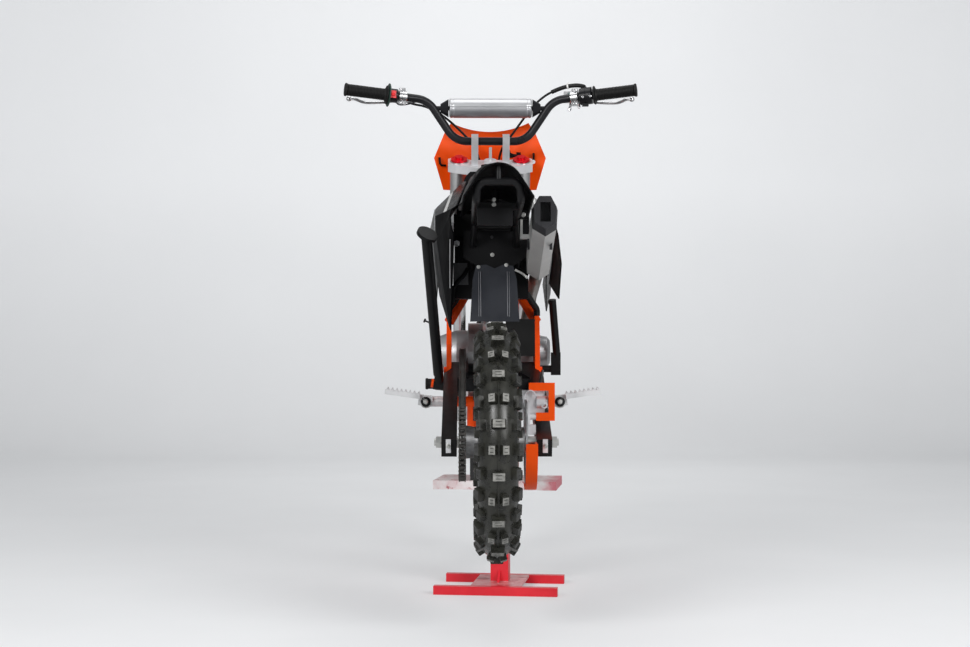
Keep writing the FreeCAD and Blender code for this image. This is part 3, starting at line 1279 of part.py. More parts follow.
def front_caliper():
    """Caliper on the left slider's lug, straddling the front disc."""
    slot = DISC_THICKNESS / 2 + 2.2
    at = fork_point(FRONT_DISC_X, -52, 84)
    body = Part.makeBox(34, 48, 62, V(FRONT_DISC_X - 24, at.y - 24, at.z - 31))
    stay_start = V(-FORK_SPREAD, at.y + 10, at.z)
    slider = fork_cylinder(-FORK_SPREAD, FORK_OFFSET, 0, SLIDER_TOP, SLIDER_RADIUS + 6 + SEAT_GAP)
    stay = side_plate([(at.y, at.z - 24), (at.y + 80, at.z - 60), (at.y + 80, at.z - 20), (at.y, at.z + 20)],
                      -FORK_SPREAD - 6, FRONT_DISC_X - slot - 5)
    gap = turned([(FRONT_DISC_X - slot, 10), (FRONT_DISC_X + slot, 10),
                  (FRONT_DISC_X + slot, FRONT_DISC_RADIUS + 4), (FRONT_DISC_X - slot, FRONT_DISC_RADIUS + 4)],
                 FRONT_AXLE)
    axle_boss = cylinder(FRONT_AXLE - V(130, 0, 0), FRONT_AXLE, 20 + SEAT_GAP)
    shape = fuse([body, stay]).cut(Part.makeCompound([gap, slider, axle_boss]))
    return nearest(shape, stay_start)


def nearest(shape, point):
    corner = Part.Vertex(V(point))
    return sorted(shape.Solids, key=lambda solid: solid.distToShape(corner)[0])[0]


def bar_point(x, behind, above):
    return BAR_CENTRE + V(x, -behind, above)


def bar_points(side):
    return [bar_point(side * x, behind, above) for x, behind, above in BAR_LINE]


def bar_shape(radius):
    right = bar_points(1)
    left = bar_points(-1)
    return rod(list(reversed(left[1:])) + right[1:], radius, BAR_BEND)


def along_bar_end(distance_from_end, side):
    tip = bar_point(side * BAR_LINE[-1][0], *BAR_LINE[-1][1:])
    inward = (bar_point(side * BAR_LINE[-2][0], *BAR_LINE[-2][1:]) - tip).normalize()
    return tip + inward * distance_from_end, inward


def handlebar():
    """The bar, its crossbar and the crossbar's tapered end pieces."""
    bar = bar_shape(BAR_RADIUS)
    cross = cylinder(bar_point(-154, 5, PAD_UP), bar_point(154, 5, PAD_UP), 6.3)
    ends = []
    for side in (1, -1):
        start = bar_point(side * (PAD_HALF_LENGTH + SEAT_GAP), 5, PAD_UP)
        ends.append(Part.makeCone(25, 12, 22, start, V(side, 0, 0)))
    return one(fuse([bar, cross] + ends))


def bar_pad():
    """Round pad on the crossbar, with a seam groove along its rear face."""
    left = bar_point(-PAD_HALF_LENGTH, 5, PAD_UP)
    right = bar_point(PAD_HALF_LENGTH, 5, PAD_UP)
    pad = cylinder(left, right, PAD_RADIUS)
    core = cylinder(left - V(5, 0, 0), right + V(5, 0, 0), 6.3 + SEAT_GAP)
    back = left.y - PAD_RADIUS
    groove = box((left.x - 1, back - 1, left.z - 1.2), (right.x + 1, back + 2, left.z + 1.2))
    return one(pad.cut(Part.makeCompound([core, groove])))


def grips():
    result = []
    bar = bar_shape(BAR_RADIUS + SEAT_GAP)
    for side in (1, -1):
        tip, inward = along_bar_end(0, side)
        outer = tip - inward * 4
        inner = tip + inward * (GRIP_LENGTH - 4)
        grip = cylinder(outer, inner, GRIP_RADIUS)
        flange = cylinder(inner - inward * 6, inner, 25)
        cap = cylinder(outer, outer + inward * 6, 18)
        result.append(one(fuse([grip, flange, cap]).cut(bar)))
    return result


def lever_blade(side, root):
    """Lever from its perch to a ball near the grip's end, ahead of the bar."""
    tip, inward = along_bar_end(4, side)
    ball_at = tip + V(0, 52, -16)
    points = [root, root + V(side * 26, 16, -2), root + V(side * 62, 8, -6), ball_at]
    return [rod(points, 4.6, 30), Part.makeSphere(8, ball_at)]


def perch(side, from_end, length, radius):
    centre, inward = along_bar_end(from_end, side)
    return cylinder(centre, centre + inward * length, radius), centre


def left_controls():
    """Clutch perch and lever, with the stop switch inboard of the grip."""
    clamp, centre = perch(-1, GRIP_LENGTH + 26, 24, 17)
    switch, switch_at = perch(-1, GRIP_LENGTH + 1, 22, 19)
    link = cylinder(*[along_bar_end(GRIP_LENGTH + d, -1)[0] + V(0, 10, 0) for d in (4, 44)], 8)
    block = box((centre.x - 10, centre.y + 8, centre.z - 9), (centre.x + 24, centre.y + 44, centre.z + 7))
    button = cylinder(switch_at + V(12, -14, 6), switch_at + V(12, -27, 10), 7)
    blade = lever_blade(-1, V(centre.x, centre.y + 34, centre.z - 2))
    body = fuse([clamp, switch, link, block, button] + blade)
    return one(body.cut(bar_shape(BAR_RADIUS + SEAT_GAP)))


def right_controls():
    """Throttle housing, front brake master cylinder with its reservoir, and the lever."""
    housing, housing_at = perch(1, GRIP_LENGTH + 1, 34, 23)
    clamp, centre = perch(1, GRIP_LENGTH + 38, 22, 17)
    link = cylinder(*[along_bar_end(GRIP_LENGTH + d, 1)[0] + V(0, 12, 0) for d in (10, 58)], 8)
    block = box((centre.x - 30, centre.y + 8, centre.z - 10), (centre.x + 14, centre.y + 44, centre.z + 8))
    reservoir = box(centre + V(-44, 12, -12), centre + V(2, 44, 17))
    blade = lever_blade(1, V(centre.x + 6, centre.y + 34, centre.z - 2))
    body = fuse([housing, clamp, link, block, reservoir] + blade)
    return one(body.cut(bar_shape(BAR_RADIUS + SEAT_GAP)))


def number_plate():
    """Curved front plate with a dipped top edge and a stay to the top clamp."""
    face_y = fork_point(0, 106, 760).y
    centre_z = 1155
    front = front_plate([(-PLATE_LINE[0][1], PLATE_LINE[0][0]), (PLATE_LINE[0][1], PLATE_LINE[0][0]),
                         (PLATE_LINE[1][1], PLATE_LINE[1][0]), (PLATE_LINE[2][1], PLATE_LINE[2][0]),
                         (PLATE_LINE[3][1], PLATE_LINE[3][0]),
                         (-PLATE_LINE[3][1], PLATE_LINE[3][0]), (-PLATE_LINE[2][1], PLATE_LINE[2][0]),
                         (-PLATE_LINE[1][1], PLATE_LINE[1][0])], face_y - 120, face_y + 60,
                        {4: (0, PLATE_DIP_Z)})
    curl = 42.0
    widest = PLATE_LINE[1][1]
    points = [(-widest - 6, face_y - curl), (widest + 6, face_y - curl),
              (widest + 6, face_y - curl - PANEL_THICKNESS), (-widest - 6, face_y - curl - PANEL_THICKNESS)]
    arcs = {0: (0, face_y), 2: (0, face_y - PANEL_THICKNESS)}
    skin = plan_plate([points[0], points[1], points[2], points[3]], centre_z - 120, centre_z + 120, arcs)
    body = one(skin.common(front))
    clamp_front = fork_point(0, 34, TOP_CLAMP_UP + CLAMP_THICKNESS / 2)
    stay = box((-14, clamp_front.y - 10, clamp_front.z - 6), (14, face_y - 1.5, clamp_front.z + 6))
    stay = stay.cut(moved(top_clamp(), AHEAD * SEAT_GAP))
    stay = sorted(stay.Solids, key=lambda solid: solid.BoundBox.YMax)[-1]
    return one(fuse([body, stay]))


def front_sections():
    return [(FRONT_AXLE.y + y, half, FRONT_AXLE.z + edge, FRONT_AXLE.z + top)
            for y, half, edge, top in FRONT_FENDER_LINE]


def front_fender():
    return arch(front_sections(), FENDER_THICKNESS)


def control_cables():
    """Throttle and clutch cables from the housings in to the stem, behind the number plate."""
    throttle = along_bar_end(GRIP_LENGTH + 18, 1)[0]
    clutch = along_bar_end(GRIP_LENGTH + 50, -1)[0]
    low = LOWER_CLAMP_UP + CLAMP_THICKNESS + SEAT_GAP
    high = TOP_CLAMP_UP + CLAMP_THICKNESS
    right = [throttle + V(2, 8, 23 + SEAT_GAP), throttle + V(-8, 16, 34), throttle + V(-60, 34, 32),
             throttle + V(-130, 56, 0), fork_point(58, 56, high + 62), fork_point(22, 72, high + 6),
             fork_point(20, 52, low + 40), fork_point(20, 46, low)]
    left = [clutch + V(-2, 44 + SEAT_GAP, -4), clutch + V(6, 62, -8), clutch + V(60, 66, -16),
            clutch + V(126, 66, -60), fork_point(-24, 72, high + 6), fork_point(-20, 52, low + 40),
            fork_point(-20, 46, low)]
    return [rod(right, CABLE_RADIUS, 40), rod(left, CABLE_RADIUS, 40)]


# Lift stand

def on_stand(shape):
    copy = shape.copy()
    copy.rotate(V(0, 0, 0), V(0, 0, 1), STAND_TURN)
    copy.translate(STAND_CENTRE)
    return copy


def stand_base():
    """Two floor bars joined by a flat spine, with a square post held by gussets."""
    half = STAND_BAR_LENGTH / 2
    pieces = []
    for side in (-1, 1):
        y = side * STAND_BAR_SPACING / 2
        pieces.append(box((-half, y - STAND_BAR / 2, 0), (half, y + STAND_BAR / 2, STAND_BAR)))
    reach = STAND_BAR_SPACING / 2
    wide = STAND_SPINE_WIDTH / 2
    pieces.append(box((-wide, -reach, STAND_BAR - 5), (wide, reach, STAND_BAR)))
    half_post = STAND_POST / 2
    top = STAND_TOP_Z - STAND_TOP_THICKNESS
    pieces.append(box((-half_post, -half_post, STAND_BAR - 2), (half_post, half_post, top)))
    for side in (-1, 1):
        root = side * (half_post - 1)
        toe = side * (half_post + STAND_GUSSET)
        corners = [(root, STAND_BAR - 1), (toe, STAND_BAR - 1), (root, STAND_BAR + STAND_GUSSET)]
        pieces.append(side_plate(corners, -3, 3))
    return one(on_stand(fuse(pieces)))


def stand_top():
    half = STAND_TOP_LENGTH / 2
    low = STAND_TOP_Z - STAND_TOP_THICKNESS
    back = STAND_TOP_BACK
    plate = box((-half, -back - STAND_TOP_DEPTH / 2, low), (half, STAND_TOP_DEPTH / 2 - back, STAND_TOP_Z))
    return on_stand(plate)


def stand_saddles():
    """Two blocks on the top plate, each with a rubber strip that a pair of rails rests on."""
    top = CRADLE_Z - RAIL_RADIUS - SEAT_GAP
    middle = STAND_CENTRE.y - STAND_TOP_BACK + 4
    blocks = []
    for side in (-1, 1):
        y = middle + side * SADDLE_SPACING / 2
        deep = SADDLE_DEPTH / 2
        blocks.append(box((-SADDLE_X, y - deep, STAND_TOP_Z), (SADDLE_X, y + deep, top)))
    return blocks


def main():
    os.makedirs("parts", exist_ok=True)
    save("lift_stand_base", stand_base())
    save("lift_stand_top", stand_top())
    save("lift_stand_saddles", *stand_saddles())
    save("main_frame", main_frame())
    save("subframe", subframe())
    save("swingarm", swingarm())
    save("rear_shock", rear_shock())
    save("rear_axle", rear_axle())
    save("crankcase", crankcase())
    save("left_engine_cover", left_cover())
    save("right_engine_cover", right_cover())
    save("cylinder", cylinder_head())
    save("carburettor", carburettor())
    save("exhaust_pipe", exhaust_pipe())
    save("silencer", silencer())
    save("silencer_cap", silencer_cap())
    save("fuel_tank", fuel_tank())
    save("seat", seat())
    save("shrouds", *shrouds())
    save("side_panels", *side_panels())
    save("rear_fender", rear_fender())
    save("mud_flap", mud_flap())
    save("inner_fender", inner_fender())
    save("airbox", airbox())
    save("splash_guard", splash_guard())
    save("kick_starter", kick_starter())
    save("footpegs", *both_sides(footpeg()))
    save("gear_lever", gear_lever())
    save("brake_pedal", brake_pedal())
    save("rear_caliper", rear_caliper())
    save("brake_guards", caliper_guard(), disc_guard())
    save("chain", chain())
    save("top_clamp", top_clamp())
    save("lower_clamp", lower_clamp())
    save("fork_tubes", *fork_tubes())
    save("fork_caps", *fork_caps())
    save("fork_sliders", fork_sliders())
    save("front_caliper", front_caliper())
    save("handlebar", handlebar())
    save("bar_pad", bar_pad())
    save("grips", *grips())
    save("left_controls", left_controls())
    save("right_controls", right_controls())
    save("number_plate", number_plate())
    save("front_fender", front_fender())
    save("control_cables", *control_cables())
    save("front_tyre", tyre(FRONT_AXLE, FRONT_TYRE_RADIUS, FRONT_TYRE_WIDTH, FRONT_RIM_RADIUS,
                            FRONT_RIM_WIDTH, FRONT_KNOB_HEIGHT, FRONT_TREAD_ROWS, FRONT_TREAD))
    save("front_rim", rim(FRONT_AXLE, FRONT_RIM_RADIUS, FRONT_RIM_WIDTH))
    save("front_hub", front_hub())
    save("rear_tyre", tyre(REAR_AXLE, REAR_TYRE_RADIUS, REAR_TYRE_WIDTH, REAR_RIM_RADIUS,
                           REAR_RIM_WIDTH, REAR_KNOB_HEIGHT, REAR_TREAD_ROWS, REAR_TREAD))
    save("rear_rim", rim(REAR_AXLE, REAR_RIM_RADIUS, REAR_RIM_WIDTH))
    save("rear_hub", rear_hub())
    save("rear_sprocket", rear_sprocket())
    save("side_stand", side_stand())


main()
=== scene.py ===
import json
import math

import bmesh
import bpy
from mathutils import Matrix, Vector


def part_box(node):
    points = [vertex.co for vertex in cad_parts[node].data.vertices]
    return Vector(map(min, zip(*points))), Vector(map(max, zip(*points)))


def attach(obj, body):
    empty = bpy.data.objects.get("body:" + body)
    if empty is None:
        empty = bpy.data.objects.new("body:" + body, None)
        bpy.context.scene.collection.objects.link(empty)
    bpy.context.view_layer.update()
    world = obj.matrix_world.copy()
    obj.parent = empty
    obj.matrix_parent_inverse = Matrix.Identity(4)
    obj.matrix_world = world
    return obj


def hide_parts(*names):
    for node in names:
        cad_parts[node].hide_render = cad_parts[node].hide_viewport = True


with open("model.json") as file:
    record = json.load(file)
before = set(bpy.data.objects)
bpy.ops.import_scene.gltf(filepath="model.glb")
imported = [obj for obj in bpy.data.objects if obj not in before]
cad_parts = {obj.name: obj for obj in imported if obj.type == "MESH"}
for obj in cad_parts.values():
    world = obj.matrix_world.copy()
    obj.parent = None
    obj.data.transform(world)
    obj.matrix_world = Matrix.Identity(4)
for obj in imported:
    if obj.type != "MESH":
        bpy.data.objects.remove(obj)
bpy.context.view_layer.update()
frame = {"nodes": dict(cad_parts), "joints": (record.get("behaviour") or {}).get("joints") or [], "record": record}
NODES = frame["nodes"]
JOINTS = {joint["name"]: joint for joint in frame["joints"]}
REAR_AXLE = Vector(JOINTS["rear_wheel_spin"]["pos_m"])
FRONT_AXLE = Vector(JOINTS["front_wheel_spin"]["pos_m"])
X_AXIS = Vector((1, 0, 0))
Y_AXIS = Vector((0, 1, 0))
Z_AXIS = Vector((0, 0, 1))
AXES = (X_AXIS, Y_AXIS, Z_AXIS)

# Camera, from the photo's view straight along the bike from behind
LENS_MM = 59.1
CAMERA_PLACE = (-0.07, -4.174, 0.645)
CAMERA_YAW_DEG = -0.72
CAMERA_PITCH_DEG = 0.59

# Lift stand, in metres, with the flat spine between its floor bars
STAND_CENTRE = (0.022, -0.036, 0.0)
STAND_TURN_DEG = -8.0
SPINE_HALF_LENGTH = 0.094
SPINE_TOP = 0.02
SPINE_DARK_SPOT = (-0.048, 0.02, 0.0)

# Drive chain, in metres
CHAIN_X = -0.076
CHAIN_PITCH = 0.0127
REAR_TEETH = 41
FRONT_TEETH = 14
FRONT_SPROCKET = Vector((CHAIN_X, -0.11, 0.59))


# Materials

COAT_ROUGHNESS = 0.08


def new_material(name):
    material = bpy.data.materials.new(name)
    material.use_nodes = True
    tree = material.node_tree
    return material, tree, tree.nodes["Principled BSDF"]


def feed(tree, node, inputs):
    """Links or sets each of a node's inputs, given by name or number."""
    for key, value in inputs.items():
        if isinstance(value, bpy.types.NodeSocket):
            tree.links.new(value, node.inputs[key])
        else:
            node.inputs[key].default_value = value
    return node


def place(tree, kind, **values):
    """A new node with its settings, and its inputs that have a one-word name."""
    node = tree.nodes.new(kind)
    for key, value in values.items():
        if key in node.inputs:
            feed(tree, node, {key: value})
        else:
            setattr(node, key, value)
    return node


def calc(tree, operation, *values):
    """The result of one sum on sockets and numbers."""
    node = place(tree, "ShaderNodeMath", operation=operation)
    return feed(tree, node, dict(enumerate(values))).outputs[0]


def split(tree, vector):
    parts = place(tree, "ShaderNodeSeparateXYZ", Vector=vector)
    return parts.outputs["X"], parts.outputs["Y"], parts.outputs["Z"]


def object_place(tree):
    return place(tree, "ShaderNodeTexCoord").outputs["Object"]


def noise(tree, scale, detail=4.0, rough=0.55, stretch=(1, 1, 1)):
    """Noise in the object's own space, drawn out along an axis where stretch says."""
    mapping = place(tree, "ShaderNodeMapping", Vector=object_place(tree), Scale=stretch)
    return place(tree, "ShaderNodeTexNoise", Vector=mapping.outputs["Vector"], Scale=scale, Detail=detail,
                 Roughness=rough).outputs["Fac"]


def spread(tree, value, low, high, from_low=0.3, from_high=0.7):
    """A value taken from one range to another; the first fits what noise gives."""
    ramp = place(tree, "ShaderNodeMapRange")
    feed(tree, ramp, {"Value": value, "From Min": from_low, "From Max": from_high, "To Min": low, "To Max": high})
    return ramp.outputs["Result"]


def blend_colours(tree, factor, first, second):
    mix = place(tree, "ShaderNodeMix", data_type="RGBA")
    colours = [value if isinstance(value, bpy.types.NodeSocket) else (*value, 1) for value in (first, second)]
    return feed(tree, mix, {0: factor, 6: colours[0], 7: colours[1]}).outputs[2]


def clouded(tree, cloud, first, second, low=0.3, high=0.7):
    """A colour that drifts between two as a noise goes from low to high."""
    return blend_colours(tree, spread(tree, cloud, 0, 1, low, high), first, second)


def add_bump(tree, shader, height, strength, distance):
    bump = place(tree, "ShaderNodeBump", Strength=strength, Distance=distance, Height=height)
    feed(tree, shader, {"Normal": bump.outputs["Normal"]})


def finish(name, colour, rough, metallic=0.0, vary=0.12, cloud=18.0, grain=900.0, bump=0.08,
           depth=0.0004, coat=0.0, specular=0.5, ior=1.45, stretch=(1, 1, 1)):
    """A surface whose colour, roughness and bump vary at their own scales."""
    material, tree, shader = new_material(name)
    large = noise(tree, cloud)
    dark = tuple(c * (1 - vary) for c in colour)
    light = tuple(min(1, c * (1 + vary)) for c in colour)
    feed(tree, shader, {"Base Color": clouded(tree, large, dark, light), "Roughness": spread(tree, large, *rough),
                        "Metallic": metallic, "Coat Weight": coat, "Coat Roughness": COAT_ROUGHNESS,
                        "Specular IOR Level": specular, "IOR": ior})
    add_bump(tree, shader, noise(tree, grain, detail=2.0, stretch=stretch), bump, depth)
    return material


def tyre_rubber():
    """Dusty black rubber with a faint olive tinge."""
    material, tree, shader = new_material("tyre_rubber")
    cloud = noise(tree, 55, detail=6)
    feed(tree, shader, {"Base Color": clouded(tree, cloud, (0.012, 0.012, 0.01), (0.028, 0.028, 0.022), 0.35, 0.65),
                        "Roughness": spread(tree, cloud, 0.22, 0.36), "Specular IOR Level": 0.45})
    add_bump(tree, shader, noise(tree, 1400, detail=2), 0.25, 0.0003)
    return material


def knob_rubber(name, low, high):
    """Scuffed rubber on the outer faces of the tread, in a pale copy with painted highlight and a dark copy with
    painted shade.
    """
    material, tree, shader = new_material(name)
    cloud = noise(tree, 90, detail=6)
    feed(tree, shader, {"Base Color": clouded(tree, cloud, low, high, 0.35, 0.65), "Roughness": 0.6})
    add_bump(tree, shader, noise(tree, 1100, detail=3), 0.4, 0.0004)
    return material


def seat_vinyl():
    """Black vinyl with a fine leather grain."""
    material, tree, shader = new_material("seat_vinyl")
    cells = place(tree, "ShaderNodeTexVoronoi", Vector=object_place(tree), Scale=420)
    cloud = noise(tree, 14)
    feed(tree, shader, {"Base Color": clouded(tree, cloud, (0.0045, 0.0045, 0.005), (0.009, 0.009, 0.0095)),
                        "Roughness": spread(tree, cloud, 0.38, 0.52), "Specular IOR Level": 0.25})
    add_bump(tree, shader, cells.outputs["Distance"], 0.3, 0.0005)
    return material


def pad_vinyl():
    """Silver cover of the bar pad, with painted shade turning it grey below its seam."""
    material, tree, shader = new_material("pad_vinyl")
    height = split(tree, object_place(tree))[2]
    low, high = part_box("bar_pad")
    middle = (low.z + high.z) / 2
    cloud = noise(tree, 16, detail=3)
    silver = clouded(tree, cloud, (0.58, 0.585, 0.6), (0.62, 0.625, 0.64))
    grey = clouded(tree, cloud, (0.3, 0.3, 0.32), (0.36, 0.36, 0.38))
    # painted shade: the underside below the seam is grey
    underside_shade = spread(tree, height, 1, 0, middle - 0.012, middle + 0.002)
    feed(tree, shader, {"Base Color": blend_colours(tree, underside_shade, silver, grey), "Metallic": 0.6,
                        "Roughness": spread(tree, cloud, 0.3, 0.38)})
    add_bump(tree, shader, noise(tree, 700, detail=3), 0.08, 0.0003)
    return material


SHROUD_BLACK = (0.006, 0.006, 0.007)
SHROUD_GREY = (0.3, 0.31, 0.32)
# share of the slanted height where each band begins, and its colour
# the orange band is a painted reflection; the white and grey bands are partly graphics, partly painted highlight
SHROUD_BANDS = ((0.0, SHROUD_BLACK), (0.55, SHROUD_GREY), (0.57, SHROUD_BLACK), (0.66, (0.62, 0.62, 0.61)),
                (0.682, SHROUD_BLACK), (0.8, (0.7, 0.2, 0.05)), (0.812, SHROUD_GREY), (0.83, SHROUD_BLACK))
SHROUD_BAND_SLOPE = -0.42


def striped_shroud():
    """Gloss black skin with slanted white, grey and orange bands; the orange band is a painted reflection of orange,
    and the white and grey bands are partly graphics and partly painted highlight.
    """
    material, tree, shader = new_material("striped_shroud")
    _, along, height = split(tree, object_place(tree))
    slant = calc(tree, "MULTIPLY_ADD", along, SHROUD_BAND_SLOPE, height)
    ramp = place(tree, "ShaderNodeValToRGB")
    ramp.color_ramp.interpolation = "CONSTANT"
    elements = ramp.color_ramp.elements
    elements[0].color = (*SHROUD_BANDS[0][1], 1)
    elements[1].position = SHROUD_BANDS[-1][0]
    elements[1].color = (*SHROUD_BANDS[-1][1], 1)
    for position, colour in SHROUD_BANDS[1:-1]:
        elements.new(position).color = (*colour, 1)
    low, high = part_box("shrouds")
    feed(tree, ramp, {"Fac": spread(tree, slant, 0, 1, low.z + 0.02, high.z + 0.04)})
    feed(tree, shader, {"Base Color": ramp.outputs["Color"], "Roughness": spread(tree, noise(tree, 20), 0.2, 0.34),
                        "IOR": 1.22})
    add_bump(tree, shader, noise(tree, 300), 0.03, 0.0005)
    return material


def stand_axes(tree):
    """The place on the turned stand: along its bars, across them, and the height."""
    shift = place(tree, "ShaderNodeVectorMath", operation="SUBTRACT")
    feed(tree, shift, {0: object_place(tree), 1: STAND_CENTRE})
    turn = place(tree, "ShaderNodeVectorRotate", rotation_type="Z_AXIS", Vector=shift.outputs["Vector"],
                 Angle=-math.radians(STAND_TURN_DEG))
    return split(tree, turn.outputs["Vector"])


def stand_paint():
    """Red paint, worn to bare, grimy metal on the flat spine between the bars, with a ragged dark patch at one spot.
    """
    material, tree, shader = new_material("stand_red")
    along, across, height = stand_axes(tree)
    cloud = noise(tree, 16)
    red = clouded(tree, cloud, (0.66, 0.01, 0.022), (0.76, 0.016, 0.032))
    scrape = noise(tree, 46, detail=8, rough=0.7)
    bare = clouded(tree, scrape, (0.74, 0.7, 0.7), (0.55, 0.2, 0.2), 0.42, 0.6)
    spine_colour = clouded(tree, noise(tree, 22, detail=5), bare, (0.1, 0.05, 0.05), 0.6, 0.72)
    # a ragged dark patch near one end of the spine
    here = place(tree, "ShaderNodeCombineXYZ", X=along, Y=across)
    distance = place(tree, "ShaderNodeVectorMath", operation="DISTANCE")
    feed(tree, distance, {0: here.outputs["Vector"], 1: SPINE_DARK_SPOT})
    ragged = calc(tree, "MULTIPLY_ADD", scrape, 0.03, distance.outputs["Value"])
    spine_colour = blend_colours(tree, spread(tree, ragged, 1, 0, 0.03, 0.036), spine_colour, (0.045, 0.035, 0.03))
    size = calc(tree, "ABSOLUTE", across)
    spine = calc(tree, "MULTIPLY", spread(tree, size, 1, 0, SPINE_HALF_LENGTH, SPINE_HALF_LENGTH + 0.003),
                 spread(tree, height, 1, 0, SPINE_TOP, SPINE_TOP + 0.004))
    feed(tree, shader, {"Base Color": blend_colours(tree, spine, red, spine_colour),
                        "Roughness": spread(tree, cloud, 0.3, 0.45), "Coat Weight": 0.2})
    add_bump(tree, shader, noise(tree, 700, detail=2), 0.08, 0.0004)
    return material


def stand_top_paint():
    """Pale scuffed top, with red left at one end."""
    material, tree, shader = new_material("stand_plate")
    along = stand_axes(tree)[0]
    scrape = noise(tree, 30, detail=8, rough=0.65)
    pale = clouded(tree, scrape, (0.8, 0.74, 0.74), (0.72, 0.56, 0.57), 0.38, 0.62)
    scuffed = clouded(tree, noise(tree, 60, detail=8), pale, (0.42, 0.12, 0.13), 0.6, 0.68)
    left = spread(tree, calc(tree, "MULTIPLY_ADD", scrape, 0.05, along), 0, 1, 0.14, 0.175)
    feed(tree, shader, {"Base Color": blend_colours(tree, left, scuffed, (0.66, 0.2, 0.24)),
                        "Roughness": spread(tree, scrape, 0.42, 0.6)})
    add_bump(tree, shader, noise(tree, 500, detail=3), 0.12, 0.0005)
    return material


# Bright metal with fine lines along one direction
BRUSHED = dict(metallic=1.0, vary=0.08, cloud=30, grain=160, bump=0.12, depth=0.0003)

# name: colour, roughness from and to, and what differs from the plain finish
FINISHES = {
    "frame_orange": ((0.95, 0.078, 0.002), (0.3, 0.42), dict(vary=0.05, ior=1.3)),
    "orange_plastic": ((0.98, 0.088, 0.002), (0.3, 0.42), dict(vary=0.03, grain=500, ior=1.25)),
    "frame_black": ((0.0055, 0.0055, 0.0062), (0.28, 0.42), dict(ior=1.3)),
    "black_plastic": ((0.005, 0.005, 0.0056), (0.36, 0.52), dict(grain=1200, bump=0.15, ior=1.2)),
    "panel_black": ((0.004, 0.004, 0.0045), (0.34, 0.46), dict(grain=600, specular=0.07, ior=1.14)),
    "fender_plastic": ((0.004, 0.004, 0.0045), (0.34, 0.46), dict(grain=600, ior=1.14)),
    "flap_rubber": ((0.016, 0.018, 0.024), (0.34, 0.5), dict(grain=800, bump=0.15, specular=0.35)),
    "saddle_rubber": ((0.016, 0.016, 0.017), (0.6, 0.75), dict(grain=700, bump=0.3)),
    "engine_alloy": ((0.46, 0.46, 0.47), (0.38, 0.55), dict(metallic=0.9, grain=700, bump=0.35, depth=0.0006)),
    "clamp_alloy": ((0.74, 0.74, 0.76), (0.28, 0.42), dict(metallic=0.45, grain=500)),
    "zinc_steel": ((0.62, 0.62, 0.6), (0.26, 0.42), dict(metallic=1.0, grain=400)),
    "peg_steel": ((0.66, 0.66, 0.67), (0.34, 0.5), dict(metallic=0.85, grain=600, bump=0.3)),
    "shock_steel": ((0.45, 0.45, 0.46), (0.26, 0.36), dict(metallic=0.7)),
    "exhaust_steel": ((0.3, 0.27, 0.24), (0.28, 0.46), dict(metallic=0.95, cloud=9, vary=0.25)),
    "silencer_alloy": ((0.6, 0.595, 0.58), (0.36, 0.48), {**BRUSHED, "metallic": 0.45, "vary": 0.06,
                       "bump": 0.1, "depth": 0.0004, "stretch": (8, 0.4, 8)}),
    "cap_black": ((0.024, 0.024, 0.027), (0.38, 0.52), dict(bump=0.2, specular=0.35)),
    "fork_alloy": ((0.66, 0.66, 0.66), (0.26, 0.36), {**BRUSHED, "stretch": (8, 8, 0.5)}),
    "slider_chrome": ((0.78, 0.78, 0.79), (0.1, 0.18), {**BRUSHED, "stretch": (6, 6, 0.5)}),
    "rim_alloy": ((0.01, 0.01, 0.011), (0.26, 0.4), dict(metallic=0.3, specular=0.3)),
    "hub_alloy": ((0.6, 0.6, 0.61), (0.28, 0.42), {**BRUSHED, "stretch": (3, 3, 3)}),
    "red_anodised": ((0.72, 0.008, 0.02), (0.24, 0.34), dict(metallic=0.6)),
    "bar_black": ((0.012, 0.012, 0.014), (0.26, 0.38), dict(metallic=0.2, specular=0.4)),
    "grip_rubber": ((0.008, 0.008, 0.008), (0.45, 0.6), dict(bump=0.3, specular=0.3)),
    "cable_black": ((0.006, 0.006, 0.006), (0.35, 0.5), dict(specular=0.3)),
    "chain_steel": ((0.1, 0.095, 0.09), (0.32, 0.5), dict(metallic=0.9, vary=0.3)),
    "signal_red": ((0.75, 0.012, 0.018), (0.3, 0.42), dict(coat=0.3)),
    "green_black": ((0.02, 0.045, 0.035), (0.35, 0.5), dict(grain=700, bump=0.2)),
    "sight_glass": ((0.1, 0.22, 0.2), (0.12, 0.2), dict(coat=0.6)),
    # the welts' paler bluish colour is a painted sheen
    "flap_painted_sheen": ((0.03, 0.034, 0.046), (0.3, 0.42), dict(grain=800, bump=0.1)),
    "airbox_grey": ((0.075, 0.077, 0.082), (0.45, 0.6), dict(grain=700, bump=0.2)),
    "tie_white": ((0.82, 0.82, 0.8), (0.35, 0.5), {}),
    "lever_alloy": ((0.72, 0.72, 0.73), (0.2, 0.3), {**BRUSHED, "stretch": (1, 4, 4)}),
}
MATERIALS = {name: finish(name, colour, rough, **more) for name, (colour, rough, more) in FINISHES.items()}
MATERIALS.update({
    "stand_red": stand_paint(),
    "stand_plate": stand_top_paint(),
    "tyre": tyre_rubber(),
    # pale crown tops: worn rubber with painted highlight; dark shoulder tops: the same rubber with painted shade
    "knob": knob_rubber("knob_rubber", (0.14, 0.14, 0.13), (0.3, 0.295, 0.275)),
    "shaded_side_knob": knob_rubber("side_knob_rubber", (0.03, 0.03, 0.03), (0.062, 0.062, 0.06)),
    "seat_cover": seat_vinyl(),
    "pad_silver": pad_vinyl(),
    "gloss_black": striped_shroud(),
})
# node: material, where it isn't the one that the node's own slot is named after
OTHER_FINISH = {"rear_fender": "fender_plastic", "side_panels": "panel_black", "silencer_cap": "cap_black"}


